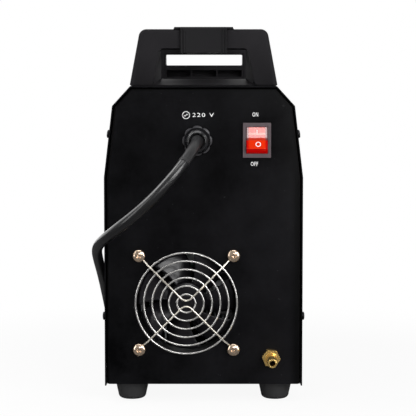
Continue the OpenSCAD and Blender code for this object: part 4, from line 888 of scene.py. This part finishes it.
bar_mesh = blocks("on_bar", [Matrix.Diagonal((0.7 * MM, 4.3 * MM, 0.1 * MM, 1))])
bar_mesh.transform(rocker_face(1, 5.4 * MM))
OFF_R, OFF_STEPS = 2.0 * MM, 40
ring_around = [Vector((OFF_R * math.cos(turn), OFF_R * math.sin(turn), 0))
               for turn in [math.tau * step / OFF_STEPS for step in range(OFF_STEPS + 1)]]
off_ring = tube_mesh("off_ring", ring_around, [0.42 * MM] * len(ring_around), 8)
off_ring.transform(rocker_face(-1, 5.6 * MM) @ Matrix.Translation((1.0 * MM, 0, 0))
                   @ Matrix.Diagonal((1, 1, 0.2, 1)))
rocker_marks = add_piece("rocker_marks", joined("rocker_marks", [bar_mesh, off_ring], mark_white), "rocker")

# ---- Printed words ---------------------------------------------------------------------------
# White pad print on the powder coat: the two words by the switch and a generic supply mark, a
# wave in a ring with the voltage, over the cable entry. The ink is thin and slightly uneven.
PRINT_T = 0.06 * MM
FRONT_FACE_Y = 168.5 * MM
ink = moulded("print_ink", shade(250, 250, 250), 0.5, 0.3 * MM, 0.006 * MM)


def printed(words, centre, height, bold=0.0, squeeze=1.0, front=False, spacing=1.0):
    """Raised ink letters, centred on (x, z) of the rear face, or of the front face."""
    text = bpy.data.curves.new("word", "FONT")
    text.body = words
    text.size = height / 0.73
    text.offset = bold * height
    text.space_character = spacing
    text.extrude = PRINT_T / 2
    text.resolution_u = 3
    text.align_x, text.align_y = "CENTER", "CENTER"
    holder = bpy.data.objects.new("word", text)
    scene.collection.objects.link(holder)
    mesh = bpy.data.meshes.new_from_object(holder.evaluated_get(bpy.context.evaluated_depsgraph_get()))
    bpy.data.objects.remove(holder)
    low = min(vertex.co.y for vertex in mesh.vertices)
    high = max(vertex.co.y for vertex in mesh.vertices)
    mesh.transform(Matrix.Translation((0, -(low + high) / 2, 0)))
    upright = Matrix.Rotation(math.radians(90), 4, "X") @ Matrix.Diagonal((squeeze, 1, 1, 1))
    if front:
        mesh.transform(Matrix.Translation((centre[0], FRONT_FACE_Y + PRINT_T / 2, centre[1]))
                       @ Matrix.Rotation(math.pi, 4, "Z") @ upright)
    else:
        mesh.transform(Matrix.Translation((centre[0], REAR_Y - PRINT_T / 2, centre[1])) @ upright)
    return mesh


def flat_line(points, width, closed, front=False):
    """A flat inked line through (x, z) points on the rear or the front face."""
    face = FRONT_FACE_Y + PRINT_T / 2 if front else REAR_Y - PRINT_T / 2
    line = [Vector((x, face, z)) for x, z in points]
    if closed:
        line.append(line[0])
    mesh = tube_mesh("line", line, [width / 2] * len(line), 8)
    pressed = Matrix.Translation((0, face, 0)) @ Matrix.Diagonal((1, PRINT_T / width, 1, 1))
    mesh.transform(pressed @ Matrix.Translation((0, -face, 0)))
    return mesh


MARK_X, MARK_Z, MARK_R, MARK_STEPS = -15.1 * MM, 251.5 * MM, 3.1 * MM, 40
WAVE_HALF, WAVE_RISE, WAVE_STEPS = 1.8 * MM, 0.8 * MM, 8
mark_ring = [(MARK_X + MARK_R * math.cos(turn), MARK_Z + MARK_R * math.sin(turn))
             for turn in [math.tau * step / MARK_STEPS for step in range(MARK_STEPS)]]
wave = [(MARK_X + WAVE_HALF * step / WAVE_STEPS,
         MARK_Z + WAVE_RISE * math.sin(math.pi * step / WAVE_STEPS))
        for step in range(-WAVE_STEPS, WAVE_STEPS + 1)]
words = [printed("ON", (44.9 * MM, 252.1 * MM), 3.6 * MM, 0.012, 0.64, spacing=1.12),
         printed("OFF", (44.1 * MM, 209.3 * MM), 3.6 * MM, 0.012, 0.7, spacing=1.12),
         printed("220 V", (-0.4 * MM, 251.7 * MM), 3.6 * MM, 0.0, 1.35, spacing=1.22),
         flat_line(mark_ring, 0.6 * MM, True), flat_line(wave, 0.55 * MM, False)]
rear_print = add_piece("rear_print", joined("rear_print", words, ink))

# ---- Cable gland -----------------------------------------------------------------------------
# A black nylon gland: a scalloped collar against the panel, a domed nut that clamps the cord in
# a ring of fingers, a rubber seal, and a locknut inside. The nylon is glossy.
COLLAR_BUMPS, SCALLOPS_FROM, SCALLOP_DEPTH = 8, 11 * MM, 1.5 * MM
FINGERS, FINGER_AT, FINGER_SIZE = 16, (-15 * MM, 6.45 * MM), (1.5 * MM, 3 * MM, 0.7 * MM, 1)
gland_place = (GLAND_X * MM, 0, GLAND_Z * MM)
nylon = moulded("gland_nylon", shade(24, 24, 26), 0.09, 1.6 * MM, 0.004 * MM, 0.05,
                Specular_IOR_Level=0.8)
# The collar's grey base is a painted sheen on the same black nylon as the nut.
collar_painted_sheen = moulded("gland_collar_painted_sheen", shade(58, 57, 60), 0.3, 1.2 * MM, 0.004 * MM, 0.08)


def collar_reach(radius, turn):
    """The collar's scalloped edge: full at the bumps, cut back between them."""
    if radius < SCALLOPS_FROM:
        return radius
    bump = abs(math.cos(turn * COLLAR_BUMPS / 2))
    return radius - SCALLOP_DEPTH * (1 - bump) ** 1.6


# Profiles of the gland are (radius, y) in millimetres, y from the face of the panel.
collar_profile = [(5.2, 12.5), (5.2, -4.9), (9.5, -5), (11.6, -5), (12.5, -4.7), (13, -4.0),
                  (13, -0.5), (12.7, 0), (8, 0.1), (8, 12.5), (5.2, 12.5)]
collar = lathe_y("gland_collar", [(r * MM, REAR_Y + y * MM) for r, y in collar_profile], 96,
                 gland_place, collar_reach)
collar.materials.append(collar_painted_sheen)
gland_collar = add_piece("gland_collar", collar)
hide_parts("gland_body")
nut_profile = [(6.65, -16.0), (6.65, -18.9), (6.72, -19.4), (6.95, -19.8), (7.3, -20), (7.65, -19.85),
               (7.9, -19.5), (8.1, -19.25), (8.5, -19.1), (8.9, -18.8), (9.2, -18.2), (9.9, -15.5),
               (10.5, -12), (10.9, -9.6), (11.2, -8.4), (11.4, -7.4), (11.4, -5.4), (11.2, -5.1),
               (8.3, -5.1), (8.3, -14), (6.65, -16.0)]
dome = lathe_y("gland_dome_nut", [(r * MM, REAR_Y + y * MM) for r, y in nut_profile], 72, gland_place)
fingers = [Matrix.Translation((GLAND_X * MM, REAR_Y + FINGER_AT[0], GLAND_Z * MM))
           @ Matrix.Rotation(math.tau * finger / FINGERS, 4, "Y")
           @ Matrix.Translation((0, 0, FINGER_AT[1])) @ Matrix.Diagonal(FINGER_SIZE)
           for finger in range(FINGERS)]
dome_meshes = [dome, blocks("fingers", fingers)]
dome_nut = add_piece("gland_dome_nut", joined("gland_dome_nut", dome_meshes, nylon))
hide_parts("gland_nut")
dress("gland_locknut", nylon)
# The seal is nearly black: painted shade for the deep gap inside the nut's mouth.
dress("gland_seal", moulded("seal_rubber_painted_shade", shade(8, 8, 9), 0.7))

# ---- Gas path --------------------------------------------------------------------------------
# Turned brass inlet with a hexagon and a hose spigot, its nut, a short hose, a solenoid valve
# whose steel plunger rides on a spring, and the outlet hose that climbs to the torch stud.
brass = plated("brass", shade(250, 212, 132), 0.17, 0.06, 2 * MM, 0.0005 * MM, metal=0.82)
softened("gas_inlet", "brass_gas_inlet", brass, 0.15 * MM, 2)
softened("valve_body", "brass_valve_body", brass, 0.4 * MM)
dress("gas_inlet_nut", brass)
hose_blue = moulded("hose_rubber", shade(28, 32, 46), 0.5, 0.7 * MM, 0.02 * MM)
dress("gas_inlet_hose", hose_blue)
dress("valve_coil", moulded("coil_plastic", shade(30, 30, 33), 0.45))
dress("valve_plunger", plated("valve_steel", shade(190, 192, 196), 0.25))


def helix_line(centre, radius, height, turns, steps=20):
    """Middle line of a helical wire that climbs along Z from a centre."""
    line = []
    for step in range(round(turns * steps) + 1):
        turn = math.tau * step / steps
        rise = height * step / (turns * steps)
        x, y = centre[0] + radius * math.cos(turn), centre[1] + radius * math.sin(turn)
        line.append(Vector((x, y, centre[2] + rise)))
    return line


spring_low, spring_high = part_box("valve_spring")
spring_middle = (spring_low + spring_high) / 2
SPRING_WIRE, SPRING_TURNS = 0.5 * MM, 6
spring_r = (spring_high.x - spring_low.x) / 2 - SPRING_WIRE
spring_centre = (spring_middle.x, spring_middle.y, spring_low.z + SPRING_WIRE)
spring_path = helix_line(spring_centre, spring_r, spring_high.z - spring_low.z - 2 * SPRING_WIRE,
                         SPRING_TURNS)
spring_mesh = tube_mesh("return_spring", spring_path, [SPRING_WIRE] * len(spring_path), 8)
spring_mesh.materials.append(plated("spring_steel", shade(196, 198, 202), 0.2))
return_spring = add_piece("return_spring", spring_mesh)
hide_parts("valve_spring")
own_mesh(return_spring)
hose_low, hose_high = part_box("gas_outlet_hose")
HOSE_D, HOSE_STEPS = 12 * MM, 30
GAS_X, GAS_Z, TORCH_X, TORCH_Z = 59.1 * MM, 39.7 * MM, 44 * MM, 72 * MM
hose_path = []
for step in range(HOSE_STEPS + 1):
    share = step / HOSE_STEPS
    ease = share * share * (3 - 2 * share)
    along = hose_low.y + (hose_high.y - hose_low.y) * share
    hose_path.append(Vector((GAS_X + (TORCH_X - GAS_X) * ease, along, GAS_Z + (TORCH_Z - GAS_Z) * ease)))
hose_mesh = tube_mesh("outlet_hose", hose_path, [HOSE_D / 2] * len(hose_path), 24)
hose_mesh.materials.append(hose_blue)
outlet_hose = add_piece("outlet_hose", hose_mesh)
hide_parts("gas_outlet_hose")

# ---- Power electronics -----------------------------------------------------------------------
# Two finned aluminium sinks stand in the fan's air with the power transistors on top. The main
# board rides over them on brass stand-offs; the ferrite transformer and choke stand on the tray.
aluminium = plated("sink_aluminium", shade(186, 188, 190), 0.34, 0.14, 0.25 * MM, 0.008 * MM, (1, 0.04, 1))
softened("heat_sink_left", "left_heat_sink", aluminium, 0.2 * MM)
softened("heat_sink_right", "right_heat_sink", aluminium, 0.2 * MM)
chip_black = moulded("chip_plastic", shade(34, 34, 36), 0.55)
softened("transistors", "power_transistors", chip_black, 0.3 * MM)
softened("bridge_rectifier", "bridge_rectifier_block", chip_black, 0.5 * MM)
dress("board_standoffs", brass)


def circuit_board():
    """Green solder mask over a grid of copper tracks, each track a little proud and paler."""
    finish = Finish("board_green")
    along = finish.node("ShaderNodeTexWave", {"bands_direction": "X"},
                        {"Vector": finish.place, "Scale": 90.0, "Distortion": 6.0, "Detail": 0.0})["Fac"]
    across = finish.node("ShaderNodeTexWave", {"bands_direction": "Y"},
                         {"Vector": finish.place, "Scale": 70.0, "Distortion": 8.0, "Detail": 0.0})["Fac"]
    patch = finish.speckle(12 * MM, 1) > 0.52
    track = (along > 0.72) * patch + (across > 0.76) * (1 - patch)
    tiny = finish.speckle(1 * MM, 2)
    return finish.surface(
        Base_Color=finish.blend(track * 0.7, shade(12, 48, 28), shade(30, 84, 46)),
        Roughness=tiny * 0.1 + 0.28, Normal=finish.bump(track, 0.05 * MM))


board_green = circuit_board()
dress("main_board", board_green)
dress("control_board", board_green)


def capacitor_sleeve():
    """Shrunk vinyl sleeve, dark blue with a pale stripe down one side and faint wrinkles."""
    finish = Finish("capacitor_sleeve")
    wrinkle = finish.speckle(3 * MM, 3, 0.6, (1, 1, 0.2))
    parts = finish.node("ShaderNodeSeparateXYZ", None, {"Vector": finish.place})
    stripe = parts["X"] < -50.5 * MM
    return finish.surface(
        Base_Color=finish.blend(stripe, shade(26, 34, 66), shade(168, 172, 180)),
        Roughness=wrinkle * 0.08 + 0.26, Normal=finish.bump(wrinkle, 0.05 * MM))


softened("bus_capacitors", "bus_capacitor_cans", capacitor_sleeve(), 1.2 * MM, 4)
ferrite = moulded("ferrite", shade(52, 52, 54), 0.6, 0.5 * MM, 0.04 * MM)
softened("transformer_core", "transformer_ferrite", ferrite, 0.5 * MM)
softened("choke_core", "choke_ring", ferrite, 1.0 * MM, 3)
enamel = plated("copper", shade(196, 112, 62), 0.3, 0.1, 0.3 * MM, 0.004 * MM)


def layered_winding(node, wire, turns, layers):
    """Wire wound in layers round an upright leg, inside the box of a CAD solid."""
    STEPS = 24
    low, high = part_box(node)
    middle = (low + high) / 2
    pitch = (high.z - low.z - 2 * wire) / turns
    line = []
    for layer in range(layers):
        reach_x = (high.x - low.x) / 2 - wire * (1 + 2 * layer)
        reach_y = (high.y - low.y) / 2 - wire * (1 + 2 * layer)
        climb = range(turns * STEPS + 1)
        for step in (climb if layer % 2 == 0 else reversed(climb)):
            turn = math.tau * step / STEPS
            x, y = math.cos(turn), math.sin(turn)
            x = math.copysign(abs(x) ** 0.35, x) * reach_x
            y = math.copysign(abs(y) ** 0.5, y) * reach_y
            line.append(Vector((middle.x + x, middle.y + y, low.z + wire + pitch * step / STEPS)))
    return tube_mesh("winding", line, [wire] * len(line), 6)


transformer_coil = layered_winding("transformer_winding", 1.15 * MM, 11, 2)
transformer_coil.materials.append(enamel)
transformer_turns = add_piece("transformer_turns", transformer_coil)
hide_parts("transformer_winding")

# The choke's wire goes round its ring core, each turn a rounded loop through the middle.
CHOKE_TURNS, LOOP_STEPS, CHOKE_WIRE, LOOP_LEAN = 26, 28, 1.1 * MM, 0.9 * MM
choke_low, choke_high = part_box("choke_winding")
loop_out, loop_in = (choke_high.x - choke_low.x) / 2 - CHOKE_WIRE, 9.6 * MM
loop_half = (choke_high.z - choke_low.z) / 2 + 1.6 * MM
loop_points = []
for step in range(LOOP_STEPS + 1):
    turn = math.tau * step / LOOP_STEPS
    across, up = (math.copysign(abs(part) ** 0.4, part) for part in (math.cos(turn), math.sin(turn)))
    x = (loop_out + loop_in) / 2 + across * (loop_out - loop_in) / 2
    loop_points.append(Vector((x, LOOP_LEAN * turn / math.tau, up * loop_half)))
choke_loop = tube_mesh("choke_loop", loop_points, [CHOKE_WIRE] * len(loop_points), 8)
choke_mesh = repeated_round("choke_turns", choke_loop, CHOKE_TURNS, (0, 0, 1), enamel)
choke_mesh.transform(Matrix.Translation((choke_low + choke_high) / 2))
choke_turns = add_piece("choke_turns", choke_mesh)
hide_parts("choke_winding")

# ---- Control panel ---------------------------------------------------------------------------
# Fluted current knob on its potentiometer, a red display window, two lamps, and the torch stud,
# earth socket and trigger socket below, with a printed scale and plain numbers.
KNOB_Z, DISPLAY_Z, SOCKET_X, SOCKET_Z = 168 * MM, 220 * MM, 44 * MM, 72 * MM
dress("potentiometer", plated("pot_metal", shade(182, 184, 186), 0.3))
knob_black = moulded("knob_plastic", shade(26, 26, 28), 0.42, 0.4 * MM, 0.02 * MM)
softened("control_knob", "current_knob", knob_black, 0.35 * MM, 2, "knob")
knob_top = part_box("control_knob")[1].y
pointer_at = Matrix.Translation((0, knob_top - 0.5 * MM, KNOB_Z + 8 * MM))
pointer_mesh = blocks("knob_pointer", [pointer_at @ Matrix.Diagonal((1.1 * MM, 0.5 * MM, 9 * MM, 1))])
pointer_mesh.materials.append(ink)
knob_pointer = add_piece("knob_pointer", pointer_mesh, "knob")


def display_glass():
    """Smoked red acrylic over the digits."""
    finish = Finish("display_red")
    haze = finish.speckle(6 * MM, 2)
    return finish.surface(
        Base_Color=finish.blend(haze, shade(58, 8, 10), shade(72, 12, 14)),
        Roughness=haze * 0.04 + 0.06, Coat_Weight=0.5, Coat_Roughness=0.03)


softened("display_window", "display_glass", display_glass(), 0.3 * MM)
lamp_green = Finish("lamp_green")
lamp_haze = lamp_green.speckle(2 * MM, 2)
lamp_glow = lamp_green.surface(
    Base_Color=lamp_green.blend(lamp_haze, shade(40, 168, 70), shade(70, 200, 96)),
    Roughness=lamp_haze * 0.06 + 0.12, Coat_Weight=0.5)
softened("indicator_lamps", "lamp_lenses", lamp_glow, 0.8 * MM, 4)
socket_black = moulded("socket_plastic", shade(26, 26, 28), 0.4)
softened("torch_flange", "torch_insulator", socket_black, 0.6 * MM, 3)
softened("torch_stud", "torch_brass_stud", brass, 0.5 * MM, 3)
softened("earth_collar", "earth_socket_collar", socket_black, 0.6 * MM, 3)
dress("earth_contact", brass)
socket_nickel = plated("socket_nickel", shade(196, 196, 194), 0.26)
softened("trigger_socket", "trigger_socket_shell", socket_nickel, 0.25 * MM)

# Lit segments of each digit, and each segment's place across and up and whether it lies flat.
DIGIT_H, DIGIT_W, DIGIT_AT, SEGMENT = 13 * MM, 7 * MM, 5.2 * MM, 1.5 * MM
LIT = {"4": "fgbc", "0": "abcdef"}
SPOTS = {"a": (0, 0.5, 1), "b": (0.5, 0.25, 0), "c": (0.5, -0.25, 0), "d": (0, -0.5, 1),
         "e": (-0.5, -0.25, 0), "f": (-0.5, 0.25, 0), "g": (0, 0, 1)}
display_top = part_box("display_window")[1].y
segments = []
for middle, digit in ((DIGIT_AT, "4"), (-DIGIT_AT, "0")):
    for segment in LIT[digit]:
        across, up, lying = SPOTS[segment]
        size = (DIGIT_W - SEGMENT, SEGMENT) if lying else (SEGMENT, DIGIT_H / 2 - SEGMENT)
        spot = Matrix.Translation((middle - across * DIGIT_W, display_top, DISPLAY_Z + up * DIGIT_H))
        segments.append(spot @ Matrix.Diagonal((size[0], 0.1 * MM, size[1], 1)))
digit_mesh = blocks("display_digits", segments)
lit = Finish("digit_light")
lit_haze = lit.speckle(1 * MM, 1)
digit_mesh.materials.append(lit.surface(
    Base_Color=shade(120, 10, 8), Roughness=lit_haze * 0.1 + 0.3,
    Emission_Color=lit.blend(lit_haze, shade(255, 40, 26), shade(255, 70, 44)), Emission_Strength=0.9))
display_digits = add_piece("display_digits", digit_mesh)

SCALE_R, TICK_LENGTH, NUMBERS_OUT = 22 * MM, 2.6 * MM, 6 * MM
SCALE_FROM, SCALE_TO, TICKS = -140, 140, 11
front_words = []
for tick in range(TICKS):
    turn = math.radians(SCALE_FROM + (SCALE_TO - SCALE_FROM) * tick / (TICKS - 1))
    ends = [(-reach * math.sin(turn), KNOB_Z + reach * math.cos(turn))
            for reach in (SCALE_R, SCALE_R + TICK_LENGTH)]
    front_words.append(flat_line(ends, 0.7 * MM, False, True))
    if tick % 2 == 0:
        reach = SCALE_R + NUMBERS_OUT
        spot = (-reach * math.sin(turn), KNOB_Z + reach * math.cos(turn))
        front_words.append(printed(str(20 + 2 * tick), spot, 3.2 * MM, 0.01, 1.0, True))
front_words.append(printed("A", (0, KNOB_Z - 27 * MM), 3.6 * MM, 0.01, 1.0, True))
front_words.append(printed("+", (-SOCKET_X, SOCKET_Z + 24 * MM), 6 * MM, 0.02, 1.0, True))
front_words.append(printed("-", (SOCKET_X, SOCKET_Z + 24 * MM), 6 * MM, 0.03, 1.6, True))
front_print = add_piece("front_print", joined("front_print", front_words, ink))
